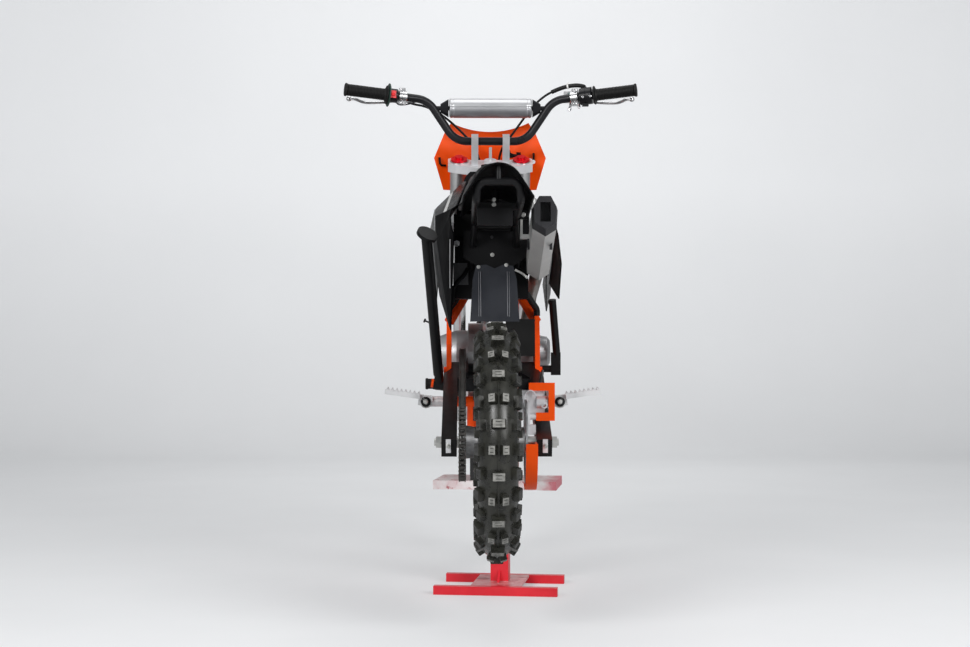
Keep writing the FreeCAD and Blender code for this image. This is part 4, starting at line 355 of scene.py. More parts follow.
def dress_nodes():
    slots = {part["node"]: part["material_slot"] for part in frame["record"]["subparts"]}
    for name, thing in NODES.items():
        thing.data.materials.clear()
        thing.data.materials.append(MATERIALS[OTHER_FINISH.get(name, slots[name])])


# Mesh tools

SHARP_ANGLE_DEG = 38


def new_object(name, data):
    thing = bpy.data.objects.new(name, data)
    bpy.context.scene.collection.objects.link(thing)
    return thing


def piece(name, verts, faces, body, material, materials=(), marks=None):
    """A mesh with its materials, riding on a body."""
    mesh = bpy.data.meshes.new(name)
    mesh.from_pydata([tuple(v) for v in verts], [], faces)
    mesh.validate()
    thing = new_object(name, mesh)
    for entry in (material, *materials):
        mesh.materials.append(MATERIALS[entry])
    if marks:
        mesh.polygons.foreach_set("material_index", marks)
    build = bmesh.new()
    build.from_mesh(mesh)
    bmesh.ops.recalc_face_normals(build, faces=build.faces)
    build.to_mesh(mesh)
    build.free()
    mesh.polygons.foreach_set("use_smooth", [True] * len(mesh.polygons))
    mesh.set_sharp_from_angle(angle=math.radians(SHARP_ANGLE_DEG))
    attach(thing, body)
    return thing


def apply_modifiers(thing):
    bpy.context.view_layer.objects.active = thing
    for modifier in list(thing.modifiers):
        with bpy.context.temp_override(object=thing, active_object=thing, selected_objects=[thing]):
            bpy.ops.object.modifier_apply(modifier=modifier.name)


def circle(centre, axis, side, radius, steps):
    """Points round an axis, the first one towards side."""
    other = axis.cross(side)
    return [centre + (side * math.cos(a) + other * math.sin(a)) * radius
            for a in (math.tau * i / steps for i in range(steps))]


class Mesh:
    """Points and faces gathered from several forms into one piece."""

    def __init__(self):
        self.verts = []
        self.faces = []
        self.marks = []

    def add(self, verts, faces, mark=0):
        start = len(self.verts)
        self.verts += [Vector(v) for v in verts]
        self.faces += [tuple(i + start for i in face) for face in faces]
        self.marks += [mark] * len(faces)

    def rings(self, rings, caps=True, mark=0):
        """Faces between closed rings with equally many points."""
        count = len(rings[0])
        faces = []
        for r in range(len(rings) - 1):
            for i in range(count):
                j = (i + 1) % count
                faces.append((r * count + i, r * count + j, (r + 1) * count + j, (r + 1) * count + i))
        if caps:
            faces.append(tuple(reversed(range(count))))
            faces.append(tuple(range((len(rings) - 1) * count, len(rings) * count)))
        self.add([v for ring in rings for v in ring], faces, mark)

    def turned(self, centre, axis, profile, steps=32, closed=False, mark=0):
        """A profile of (distance along the axis, radius) turned about the axis."""
        axis = Vector(axis).normalized()
        side = axis.orthogonal().normalized()
        rings = [circle(Vector(centre) + axis * along, axis, side, radius, steps) for along, radius in profile]
        if closed:
            rings.append(rings[0])
        self.rings(rings, caps=not closed, mark=mark)

    def bolt(self, centre, axis, size, height, mark=0):
        """A hexagon head on its washer, standing along the axis."""
        self.turned(centre, axis, ((-0.0005, size * 0.95), (0.0008, size * 0.95), (0.0009, size * 0.86)), 18,
                    mark=mark)
        self.turned(centre, axis, ((0.0008, size * 0.8), (height * 0.8, size * 0.8), (height, size * 0.66)), 6,
                    mark=mark)

    def tube(self, points, radius, steps=10, mark=0):
        """A round bar through the points."""
        points = [Vector(p) for p in points]
        rings = []
        side = None
        for i, point in enumerate(points):
            line = (points[min(i + 1, len(points) - 1)] - points[max(i - 1, 0)]).normalized()
            if side is None:
                side = line.orthogonal().normalized()
            side = (side - line * side.dot(line)).normalized()
            rings.append(circle(point, line, side, radius, steps))
        self.rings(rings, mark=mark)

    def block(self, centre, half, mark=0, axes=AXES):
        """A plain block with its half sizes along its own three directions."""
        a, b, c = [Vector(v) * h for v, h in zip(axes, half)]
        centre = Vector(centre)
        low = [centre - a - b - c, centre + a - b - c, centre + a + b - c, centre - a + b - c]
        self.rings([low, [p + 2 * c for p in low]], mark=mark)

    def make(self, name, body, material, materials=()):
        """The finished piece with its materials."""
        marks = self.marks if materials else None
        return piece(name, self.verts, self.faces, body, material, materials, marks)


def smooth_path(points, steps=6):
    """Points along a smooth curve through the given ones."""
    points = [Vector(p) for p in points]
    result = []
    for i in range(len(points) - 1):
        p0 = points[max(i - 1, 0)]
        p1, p2 = points[i], points[i + 1]
        p3 = points[min(i + 2, len(points) - 1)]
        for k in range(steps):
            t = k / steps
            result.append(0.5 * ((2 * p1) + (p2 - p0) * t + (2 * p0 - 5 * p1 + 4 * p2 - p3) * t * t
                                 + (3 * p1 - p0 - 3 * p2 + p3) * t * t * t))
    result.append(points[-1])
    return result


# Tyres

TYRE_STEPS = 26
TYRE_TURN_STEPS = 120
# knobs nearer to the crown than this, in radians, have the paler top, partly wear and partly painted highlight; the
# tops further out are darkened as painted shade
LIT_CROWN_ANGLE = 0.5


def carcass_point(section, angle, lift=0.0):
    """Distance across and radius on the carcass at an angle from its crown."""
    depth = section["radius"] - section["knob"] - section["round"]
    across = section["half"] * math.sin(angle)
    out = depth + section["round"] * math.cos(angle)
    normal = Vector((math.sin(angle) / section["half"], math.cos(angle) / section["round"])).normalized()
    return across + normal.x * lift, out + normal.y * lift


def tyre(name, node, body, centre, section, rows, row_table):
    """Carcass with a thin crown rib and every knob of the tread."""
    mesh = Mesh()
    bead = section["bead"]
    depth = section["radius"] - section["knob"] - section["round"]
    limit = math.acos(max(-1, (bead - depth) / section["round"]))
    profile = [(-section["bead_half"], bead - 0.006), (-section["bead_half"] - 0.002, bead)]
    for i in range(TYRE_STEPS + 1):
        angle = -limit + 2 * limit * i / TYRE_STEPS
        across, out = carcass_point(section, angle)
        if out > bead + 0.002:
            profile.append((across, out))
            if i == TYRE_STEPS // 2:
                profile[-1] = (-0.0022, out)
                profile += [(-0.0016, out + 0.0022), (0.0016, out + 0.0022), (0.0022, out)]
    profile += [(section["bead_half"] + 0.002, bead), (section["bead_half"], bead - 0.006)]
    mesh.turned(centre, X_AXIS, profile, TYRE_TURN_STEPS, closed=True)
    for row in range(rows):
        turn = math.tau * row / rows
        for angle_deg, width, length, height, shift in row_table[row % len(row_table)]:
            for side in (1, -1) if angle_deg else (1,):
                knob(mesh, centre, section, math.radians(side * angle_deg), turn + math.tau * shift / rows, width,
                     length, height)
    thing = mesh.make(name, body, "tyre", ("knob", "shaded_side_knob"))
    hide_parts(node)
    return thing


def knob(mesh, centre, section, angle, turn, width, length, height):
    """One tread block: straight sides, bevelled edge and two sipes, its top pale near the crown from wear and
    painted highlight, and dark further out from painted shade.
    """
    across, out = carcass_point(section, angle)
    top_across, top_out = carcass_point(section, angle, 1.0)
    normal = Vector((top_across - across, top_out - out)).normalized()
    wide = Vector((normal.y, -normal.x))

    def at(lift, u, v):
        """The point at that lift, u widths across and v lengths along from the middle."""
        flat = Vector((across, out)) + normal * lift + wide * (u * width)
        return centre + Vector((flat.x, flat.y * math.cos(turn + v * length / out),
                                flat.y * math.sin(turn + v * length / out)))

    rings = [[at(lift, u * share, v * share) for u, v in ((-0.5, -0.5), (0.5, -0.5), (0.5, 0.5), (-0.5, 0.5))]
             for lift, share in ((-0.004, 1.12), (0, 1.08), (height - 0.0012, 1), (height, 0.9))]
    mesh.rings(rings[:3], caps=False)
    mesh.rings(rings[2:], caps=False)
    # top colour: pale with painted highlight near the crown, dark with painted shade on the shoulders
    mesh.add(rings[3], [(0, 1, 2, 3)], 1 if abs(angle) < LIT_CROWN_ANGLE else 2)
    for low, high in ((-0.24, -0.16), (0.16, 0.24)):
        mesh.add([at(height + 0.0001, u, v) for u, v in ((-0.24, low), (0.24, low), (0.24, high), (-0.24, high))],
                 [(0, 1, 2, 3)])


REAR_SECTION = {"radius": 0.268, "knob": 0.013, "half": 0.043, "round": 0.05, "bead": 0.184, "bead_half": 0.027}
FRONT_SECTION = {"radius": 0.286, "knob": 0.011, "half": 0.031, "round": 0.038, "bead": 0.222, "bead_half": 0.02}
REAR_ROW_COUNT = 30
FRONT_ROW_COUNT = 40
# angle to both sides of the crown in degrees, width, length, height, shift along in rows
REAR_ROWS = (
    ((0, 0.028, 0.018, 0.013, 0), (50, 0.017, 0.022, 0.012, 0), (86, 0.016, 0.017, 0.008, 0.3)),
    ((15, 0.015, 0.019, 0.013, 0), (58, 0.018, 0.024, 0.012, 0), (88, 0.014, 0.014, 0.008, 0.45)),
)
FRONT_ROWS = (
    ((0, 0.02, 0.015, 0.011, 0), (54, 0.014, 0.018, 0.01, 0)),
    ((18, 0.012, 0.016, 0.011, 0), (66, 0.013, 0.017, 0.009, 0)),
)


def tyres():
    tyre("rear_tread", "rear_tyre", "rear_wheel", REAR_AXLE, REAR_SECTION, REAR_ROW_COUNT, REAR_ROWS)
    tyre("front_tread", "front_tyre", "front_wheel", FRONT_AXLE, FRONT_SECTION, FRONT_ROW_COUNT, FRONT_ROWS)


# Drive chain

CHAIN_ARC_STEPS = 60
PLATE_END_STEPS = 6
PLATE_END_RADIUS = 0.0056
PLATE_WAIST = 0.0042
PLATE_THICKNESS = 0.0016
INNER_PLATE_OFFSET = 0.0044
OUTER_PLATE_OFFSET = 0.0062
ROLLER = ((-0.004, 0.0042), (0.004, 0.0042))
PIN = ((-0.0084, 0.0022), (0.0084, 0.0022))


def chain_path():
    """Points one pitch apart round both sprockets."""
    rear = Vector((CHAIN_X, REAR_AXLE.y, REAR_AXLE.z))
    rear_radius = CHAIN_PITCH / 2 / math.sin(math.pi / REAR_TEETH)
    front_radius = CHAIN_PITCH / 2 / math.sin(math.pi / FRONT_TEETH)
    line = FRONT_SPROCKET - rear
    span = line.length
    lean = math.atan2(line.z, line.y)
    open_angle = math.acos((rear_radius - front_radius) / span)
    route = []
    for centre, radius, start, turn in ((rear, rear_radius, lean + open_angle, math.tau - 2 * open_angle),
                                        (FRONT_SPROCKET, front_radius, lean - open_angle, 2 * open_angle)):
        for i in range(CHAIN_ARC_STEPS + 1):
            angle = start + turn * i / CHAIN_ARC_STEPS
            route.append(centre + Vector((0, math.cos(angle), math.sin(angle))) * radius)
    route.append(route[0])
    lengths = [0.0]
    for a, b in zip(route, route[1:]):
        lengths.append(lengths[-1] + (b - a).length)
    count = 2 * round(lengths[-1] / CHAIN_PITCH / 2)
    points = []
    k = 0
    for i in range(count):
        want = lengths[-1] * i / count
        while lengths[k + 1] < want:
            k += 1
        share = (want - lengths[k]) / (lengths[k + 1] - lengths[k])
        points.append(route[k].lerp(route[k + 1], share))
    return points


def link_plate(mesh, first, second, x_low, x_high):
    """A waisted side plate between two pins."""
    along = (second - first).normalized()
    square = Vector((0, -along.z, along.y))
    middle = (first + second) / 2
    outline = []
    for pin, side in ((second, 1), (first, -1)):
        for i in range(PLATE_END_STEPS + 1):
            angle = side * math.pi / 2 - math.pi * i / PLATE_END_STEPS
            outline.append(pin + (along * math.cos(angle) + square * math.sin(angle)) * PLATE_END_RADIUS)
        outline.append(middle - square * (side * PLATE_WAIST))
    mesh.rings([[Vector((x, p.y, p.z)) for p in outline] for x in (x_low, x_high)])


def chain():
    """Rollers, pins and side plates of the whole loop, every other link an outer one."""
    mesh = Mesh()
    points = chain_path()
    for i, point in enumerate(points):
        mesh.turned(point, X_AXIS, ROLLER, 12)
        mesh.turned(point, X_AXIS, PIN, 8)
        offset = INNER_PLATE_OFFSET if i % 2 else OUTER_PLATE_OFFSET
        for side in (-1, 1):
            low, high = sorted((CHAIN_X + side * offset, CHAIN_X + side * (offset + PLATE_THICKNESS)))
            link_plate(mesh, point, points[(i + 1) % len(points)], low, high)
    thing = mesh.make("drive_chain", "chassis", "chain_steel")
    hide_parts("chain")


# Soft pieces

AIR_PRESSURE = 4.0
AIR_FRAMES = 20
# a distance that no seam reaches
FAR = 1.0


def sink(thing, depth_at):
    """Moves each point inwards, by a depth that follows from its place."""
    normals = [vertex.normal.copy() for vertex in thing.data.vertices]
    for vertex, normal in zip(thing.data.vertices, normals):
        vertex.co -= normal * depth_at(vertex.co)


def soft_skin(name, node, voxel, inset):
    """An even closed skin a little inside a CAD form."""
    thing = new_object(name, NODES[node].data.copy())
    build = bmesh.new()
    build.from_mesh(thing.data)
    bmesh.ops.remove_doubles(build, verts=build.verts, dist=0.0001)
    build.to_mesh(thing.data)
    build.free()
    remesh = thing.modifiers.new("voxels", "REMESH")
    remesh.mode = "VOXEL"
    remesh.voxel_size = voxel
    even = thing.modifiers.new("even", "SMOOTH")
    even.factor = 0.5
    even.iterations = 3
    apply_modifiers(thing)
    sink(thing, lambda point: inset)
    return thing


def fill_with_air(thing, cap, held):
    """Cloth swelled by pressure, its held points fixed and no point moving past the cap."""
    mesh = thing.data
    start = [vertex.co.copy() for vertex in mesh.vertices]
    group = thing.vertex_groups.new(name="held")
    group.add([vertex.index for vertex in mesh.vertices if held(vertex.co, vertex.normal)], 1.0, "REPLACE")
    cloth = thing.modifiers.new("fill", "CLOTH")
    cloth.settings.vertex_group_mass = "held"
    cloth.settings.use_pressure = True
    cloth.settings.uniform_pressure_force = AIR_PRESSURE
    cloth.settings.effector_weights.gravity = 0
    for number in range(1, AIR_FRAMES + 1):
        bpy.context.scene.frame_set(number)
    apply_modifiers(thing)
    for vertex, before in zip(mesh.vertices, start):
        step = vertex.co - before
        if step.length > cap:
            vertex.co = before + step * (cap / step.length)
    bpy.context.scene.frame_set(1)


def finer(thing):
    thing.modifiers.new("finer", "SUBSURF").levels = 1
    apply_modifiers(thing)


def press_seam(thing, distance, half_width, depth):
    """Presses a sewn line in where the distance from it is small."""
    sink(thing, lambda point: depth * max(0, 1 - (distance(point) / half_width) ** 2))


def finish_soft(thing, node, body, material):
    thing.data.materials.clear()
    thing.data.materials.append(MATERIALS[material])
    thing.data.polygons.foreach_set("use_smooth", [True] * len(thing.data.polygons))
    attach(thing, body)
    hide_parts(node)


# Seat sections: y, height of the base, height of the top, half width at the base and at the top
SEAT_SECTIONS = (
    (0.066, 1.002, 1.088, 0.066, 0.044),
    (-0.09, 0.972, 1.062, 0.092, 0.058),
    (-0.3, 0.966, 1.064, 0.092, 0.062),
    (-0.5, 0.972, 1.059, 0.072, 0.048),
)
SEAT_SEAMS_Y = (-0.105, -0.475)


def seat_section(y):
    """The seat's heights and half widths at y."""
    y = max(min(y, SEAT_SECTIONS[0][0]), SEAT_SECTIONS[-1][0])
    for front, back in zip(SEAT_SECTIONS, SEAT_SECTIONS[1:]):
        if y >= back[0]:
            share = (y - back[0]) / (front[0] - back[0])
            return [b + (a - b) * share for a, b in zip(front[1:], back[1:])]


def seat_cover():
    """The padded seat, with a sewn line along each shoulder and two across the top."""
    thing = soft_skin("seat_cushion", "seat", voxel=0.005, inset=0.004)

    def held(point, normal):
        return point.z < seat_section(point.y)[0] + 0.018 or normal.z < -0.5

    def shoulder(point):
        base, top, _, half_top = seat_section(point.y)
        return abs(point.x) - half_top * 1.06 if point.z >= (base + top) / 2 else FAR

    fill_with_air(thing, 0.006, held)
    finer(thing)
    press_seam(thing, shoulder, 0.0035, depth=0.0018)
    for y in SEAT_SEAMS_Y:
        press_seam(thing, lambda point, y=y: point.y - y if point.z > seat_section(y)[0] + 0.03 else FAR,
                   0.0035, depth=0.0014)
    finish_soft(thing, "seat", "chassis", "seat_cover")


def bar_pad():
    """The round pad on the crossbar, drawn in at its ends and along the seam facing the rider."""
    thing = soft_skin("bar_pad_cover", "bar_pad", voxel=0.004, inset=0.0018)
    low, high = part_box("bar_pad")
    middle = (low + high) / 2
    fill_with_air(thing, 0.005, lambda point, normal: abs(point.x) > high.x - 0.007)
    finer(thing)
    press_seam(thing, lambda point: point.z - middle.z + 0.001 if point.y < middle.y else FAR, 0.003, depth=0.002)
    for side in (-1, 1):
        press_seam(thing, lambda point, side=side: point.x - side * (high.x - 0.012), 0.003, depth=0.0012)
    finish_soft(thing, "bar_pad", "steering", "pad_silver")


# Handlebar

BAR_TIP = Vector((0.392, 0.1363, 1.3229))
BAR_INWARD = Vector((-0.9674, 0.2375, -0.088))
BAR_RADIUS = 0.0112
GRIP_RIBS = 25
GRIP_RIB_START = 0.0035
GRIP_RIB_PITCH = 0.004
LEVER_RADIUS = 0.0042
CLAMP_RADIUS = 0.0175


def shifted(point, x, y, z):
    return point + Vector((x, y, z))


def inward(side):
    """The bar's direction from its end to the middle, on the right for side 1."""
    return Vector((BAR_INWARD.x * side, BAR_INWARD.y, BAR_INWARD.z))


def on_bar(distance, side):
    """The point that far in from the bar's end."""
    point = BAR_TIP + BAR_INWARD * distance
    return Vector((point.x * side, point.y, point.z))


def grips():
    """Ribbed rubber grips with a flange inboard and a cap at the end."""
    profile = [(-0.004, 0.004), (-0.004, 0.0165), (-0.003, 0.018), (0.001, 0.018), (0.002, 0.0168)]
    for i in range(GRIP_RIBS):
        start = GRIP_RIB_START + GRIP_RIB_PITCH * i
        profile += [(start, 0.0149), (start + 0.0008, 0.0163), (start + 0.0026, 0.0163), (start + 0.0032, 0.0149)]
    profile += [(0.105, 0.0165), (0.108, 0.0185), (0.11, 0.025), (0.113, 0.0255), (0.114, 0.0245), (0.114, 0.012)]
    mesh = Mesh()
    for side in (-1, 1):
        mesh.turned(on_bar(0, side), inward(side), profile, 36)
    thing = mesh.make("grip_pair", "steering", "grip_rubber")
    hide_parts("grips")


def control_lever(mesh, side, root, mark):
    """A thin curved blade from its pivot to a ball near the grip's end."""
    ball = shifted(on_bar(0.004, side), 0, 0.052, -0.0165)
    mesh.tube(smooth_path([root, shifted(root, side * 0.026, 0.014, -0.003),
                           shifted(root, side * 0.06, 0.008, -0.007), shifted(root, side * 0.1, 0, -0.008),
                           ball - Vector((side * 0.016, 0, 0.001)), ball]), LEVER_RADIUS, 10, mark)
    mesh.turned(ball, X_AXIS, [(0.0075 * math.sin(a), 0.0075 * math.cos(a))
                               for a in (math.radians(d) for d in (-85, -60, -30, 0, 30, 60, 85))], 16, mark=mark)
    mesh.turned(root, Z_AXIS, ((-0.012, 0.0085), (-0.011, 0.0095), (0.011, 0.0095), (0.012, 0.0085)), 20, mark=mark)
    mesh.bolt(shifted(root, 0, 0, 0.012), Z_AXIS, 0.0055, 0.004, mark)


def clamp_ring(mesh, side, start, length, mark):
    """A split clamp round the bar, its two screws facing the rider."""
    radius = CLAMP_RADIUS
    mesh.turned(on_bar(start, side), inward(side),
                ((0, BAR_RADIUS), (0, radius - 0.001), (0.001, radius), (length - 0.001, radius),
                 (length, radius - 0.001), (length, BAR_RADIUS)), 32, mark=mark)
    middle = on_bar(start + length / 2, side)
    for up in (-1, 1):
        ear = up * (radius + 0.001)
        mesh.block(shifted(middle, 0, -0.004, ear), (length * 0.42, 0.008, 0.0045), mark)
        mesh.bolt(shifted(middle, 0, -0.012, ear), -Y_AXIS, 0.0042, 0.004, mark)


def left_controls():
    """Green flange ring, stop switch with its red face, clutch perch and lever."""
    mesh = Mesh()
    silver, green, red = 1, 2, 3
    mesh.turned(on_bar(0.115, -1), inward(-1),
                ((0, 0.017), (0, 0.03), (0.0012, 0.0318), (0.003, 0.0318), (0.0042, 0.03), (0.0042, 0.017)), 48,
                mark=green)
    mesh.turned(on_bar(0.1215, -1), inward(-1),
                ((0, BAR_RADIUS), (0, 0.0175), (0.0012, 0.019), (0.019, 0.019), (0.0205, 0.0175),
                 (0.0205, BAR_RADIUS)), 32)
    switch = on_bar(0.1315, -1)
    mesh.block(shifted(switch, 0, -0.017, 0.001), (0.0082, 0.01, 0.007), red, (inward(-1), Z_AXIS, -Y_AXIS))
    mesh.turned(shifted(switch, 0, -0.0235, 0.001), -Y_AXIS, ((0, 0.0062), (0.003, 0.006), (0.0042, 0.0048)), 20,
                mark=red)
    mesh.tube(smooth_path([shifted(switch, 0.004, -0.012, -0.016), shifted(switch, 0.016, -0.01, -0.026),
                           shifted(switch, 0.04, 0.006, -0.022), shifted(switch, 0.062, 0.014, -0.014)]), 0.002, 8)
    clamp_ring(mesh, -1, 0.145, 0.022, silver)
    perch = on_bar(0.156, -1)
    mesh.block(shifted(perch, 0.004, 0.028, -0.002), (0.015, 0.018, 0.0065), silver)
    mesh.turned(shifted(perch, 0.019, 0.032, -0.002), X_AXIS,
                ((0, 0.006), (0.002, 0.0082), (0.007, 0.0082), (0.009, 0.006), (0.016, 0.005)), 18, mark=silver)
    control_lever(mesh, -1, shifted(perch, -0.006, 0.036, -0.002), silver)
    thing = mesh.make("left_control_set", "steering", "bar_black",
                      ("lever_alloy", "green_black", "signal_red"))
    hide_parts("left_controls")


def right_controls():
    """Throttle housing, brake master cylinder with its reservoir, and the lever."""
    mesh = Mesh()
    silver, glass = 1, 2
    mesh.turned(on_bar(0.119, 1), inward(1),
                ((0, BAR_RADIUS), (0, 0.0215), (0.0016, 0.023), (0.015, 0.023), (0.0156, 0.0222), (0.0172, 0.0222),
                 (0.0178, 0.023), (0.032, 0.023), (0.034, 0.0205), (0.034, BAR_RADIUS)), 36)
    throttle = on_bar(0.136, 1)
    mesh.block(shifted(throttle, 0, 0.004, 0.014), (0.015, 0.015, 0.0085), 0, (inward(1), Y_AXIS, Z_AXIS))
    for down in (-0.01, 0.01):
        mesh.bolt(throttle + inward(1) * down + Vector((0, -0.0225, -0.004)), -Y_AXIS, 0.0036, 0.003, silver)
    mesh.block(shifted(throttle, -0.002, -0.006, -0.0245), (0.0085, 0.007, 0.004))
    clamp_ring(mesh, 1, 0.157, 0.021, silver)
    perch = on_bar(0.156, 1)
    # master cylinder and its bore
    mesh.block(shifted(perch, -0.01, 0.027, -0.003), (0.024, 0.017, 0.0072), silver)
    mesh.turned(shifted(perch, -0.034, 0.027, -0.003), -X_AXIS,
                ((0, 0.0095), (0.012, 0.0095), (0.014, 0.007), (0.02, 0.007), (0.022, 0.005)), 20, mark=silver)
    # reservoir with its sight glass and lid screws
    mesh.block(shifted(perch, -0.022, 0.026, 0.008), (0.018, 0.014, 0.0095), silver)
    mesh.turned(shifted(perch, -0.022, 0.012, 0.007), -Y_AXIS, ((0, 0.0078), (0.0012, 0.0078), (0.0016, 0.0066)),
                20, mark=glass)
    for across in (-0.013, 0.013):
        mesh.bolt(shifted(perch, -0.022 + across, 0.026, 0.0172), Z_AXIS, 0.0032, 0.0022, silver)
    # banjo and switch below
    for top, foot, radius, tip, size, height in (
            ((-0.02, 0.016, -0.012), (-0.024, 0.012, -0.03), 0.0036, (-0.2, -0.2, -1), 0.0055, 0.006),
            ((0.004, 0.018, -0.012), (0.002, 0.012, -0.024), 0.003, (0, -0.2, -1), 0.0046, 0.005)):
        mesh.tube([shifted(perch, *top), shifted(perch, *foot)], radius, 10, silver)
        mesh.bolt(shifted(perch, *foot), tip, size, height, silver)
    control_lever(mesh, 1, shifted(perch, 0.01, 0.036, -0.002), silver)
    thing = mesh.make("right_control_set", "steering", "bar_black", ("lever_alloy", "sight_glass"))
    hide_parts("right_controls")


# Control cables, from each control in to the stem behind the number plate
CABLE_ROUTES = {
    "throttle_cable": ((0.2624, 0.1766, 1.3343), (0.2524, 0.1846, 1.345), (0.2004, 0.2026, 1.343),
                       (0.1304, 0.2246, 1.311), (0.058, 0.2421, 1.2106), (0.022, 0.2814, 1.1676),
                       (0.02, 0.3285, 1.0283), (0.02, 0.341, 0.9898)),
    "clutch_cable": ((-0.2315, 0.2205, 1.3041), (-0.2235, 0.2382, 1.3001), (-0.1695, 0.2422, 1.2921),
                     (-0.1035, 0.2422, 1.2481), (-0.024, 0.2814, 1.1676), (-0.02, 0.3285, 1.0283),
                     (-0.02, 0.341, 0.9898)),
}
CABLE_DIAMETER = 0.0064
SLEEVE_RADIUS = 0.0058
SLEEVE_FROM_X = 0.168
SLEEVE_TO_X = 0.2575
TIE_X = 0.214
TIE_RADIUS = 0.0068
TIE_HALF_WIDTH = 0.0022


def cable_curve(name, route):
    data = bpy.data.curves.new(name, "CURVE")
    data.dimensions = "3D"
    data.bevel_depth = CABLE_DIAMETER / 2
    data.bevel_resolution = 4
    data.resolution_u = 16
    data.use_fill_caps = True
    spline = data.splines.new("NURBS")
    spline.points.add(len(route) - 1)
    for point, at in zip(spline.points, route):
        point.co = (*at, 1)
    spline.order_u = 3
    spline.use_endpoint_u = True
    return new_object(name, data)


def centre_line(thing):
    """The points of a cable's smooth line."""
    depth = thing.data.bevel_depth
    thing.data.bevel_depth = 0
    line = bpy.data.meshes.new_from_object(thing)
    thing.data.bevel_depth = depth
    points = [vertex.co.copy() for vertex in line.vertices]
    bpy.data.meshes.remove(line)
    return points


def throttle_sleeve(points):
    """The sleeve on the throttle cable with its white tie."""
    mesh = Mesh()
    mesh.tube([p for p in points if SLEEVE_FROM_X < p.x < SLEEVE_TO_X], SLEEVE_RADIUS, 14)
    middle = min(points, key=lambda p: abs(p.x - TIE_X))
    following = points[points.index(middle) + 1]
    mesh.turned(middle, following - middle,
                ((-TIE_HALF_WIDTH, SLEEVE_RADIUS), (-TIE_HALF_WIDTH, TIE_RADIUS), (TIE_HALF_WIDTH, TIE_RADIUS),
                 (TIE_HALF_WIDTH, SLEEVE_RADIUS)), 18, mark=1)
    mesh.block(shifted(middle, 0, -0.004, 0.0075), (0.0024, 0.0026, 0.0026), 1)
    return mesh.make("throttle_sleeve", "steering", "cable_black", ("tie_white",))


def cables():
    lines = {}
    for name, route in CABLE_ROUTES.items():
        thing = cable_curve(name, route)
        thing.data.materials.append(MATERIALS["cable_black"])
        # measured before it is attached to the steering
        lines[name] = (thing, centre_line(thing))
        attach(thing, "steering")
        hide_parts("control_cables")
    pieces = {"throttle_cable": {"with_pieces": [throttle_sleeve(lines["throttle_cable"][1])]}}


# Fasteners and small parts

# Bolt heads that face the rear: place, head size, height, and 0 for bright or 1 for dark
REAR_BOLTS = (
    ((-0.008, -0.768, 0.9455), 0.0046, 0.004, 0), ((-0.008, -0.768, 0.935), 0.005, 0.004, 0),
    ((-0.0052, -0.409, 0.8461), 0.005, 0.004, 0), ((-0.0381, -0.415, 0.8173), 0.0046, 0.004, 0),
    ((0.0275, -0.4145, 0.822), 0.0046, 0.004, 0), ((-0.0067, -0.409, 0.8884), 0.004, 0.003, 1),
    ((0.0608, -0.603, 0.9262), 0.0058, 0.005, 0))
AIRBOX_BOLT = (-0.0903, -0.33, 0.8779)
SILENCER_BRACKET = (0.059, -0.6, 0.9262)
FLAP_STAY = ((0.048, -0.422, 0.81), (0.06, -0.423, 0.8045), (0.0761, -0.42, 0.7935))
FLAP_STAY_BOLT = (0.0762, -0.4235, 0.793)
# a thin bright line along the left side panel's rear edge, a painted highlight
PANEL_EDGE_HIGHLIGHT = ((-0.1047, -0.448, 0.88), (-0.1052, -0.423, 0.844), (-0.1054, -0.398, 0.807), (-0.1054, -0.372, 0.7692))
SMALL_PEG = ((-0.149, -0.145, 0.684), (-0.17, -0.145, 0.693))


def fasteners():
    """Silver bolts and brackets that show from behind, and a thin bright line along a side panel's rear edge as
    painted highlight.
    """
    mesh = Mesh()
    bright, black, plastic, edge, alloy = range(5)
    for centre, size, height, mark in REAR_BOLTS:
        mesh.bolt(centre, -Y_AXIS, size, height, mark)
    mesh.turned(AIRBOX_BOLT, -Y_AXIS,
                ((0, 0.0075), (0.0012, 0.0075), (0.0014, 0.0062), (0.0034, 0.0052), (0.0046, 0.003)), 20, mark=alloy)
    mesh.block(SILENCER_BRACKET, (0.011, 0.003, 0.0105), plastic)
    mesh.tube(FLAP_STAY, 0.003, 10, bright)
    mesh.bolt(FLAP_STAY_BOLT, -Y_AXIS, 0.004, 0.003, bright)
    # painted highlight: a thin bright steel line on the side panel's rear edge
    mesh.tube(PANEL_EDGE_HIGHLIGHT, 0.0014, 8, edge)
    mesh.tube(SMALL_PEG, 0.0022, 8, black)
    mesh.turned(SMALL_PEG[1], (-0.92, 0, 0.39), ((0, 0.005), (0.003, 0.0056), (0.0046, 0.004)), 14, mark=black)
    mesh.make("rear_fasteners", "chassis", "zinc_steel",
              ("cap_black", "black_plastic", "peg_steel", "clamp_alloy"))


VENT_LEFT, VENT_RIGHT = -0.096, -0.064
VENT_LOW, VENT_HIGH = 0.78, 0.829
VENT_RIBS = 6
BREATHER = ((-0.064, -0.337, 0.816), (-0.072, -0.344, 0.801), (-0.088, -0.348, 0.784), (-0.098, -0.35, 0.764),
            (-0.099, -0.345, 0.735))


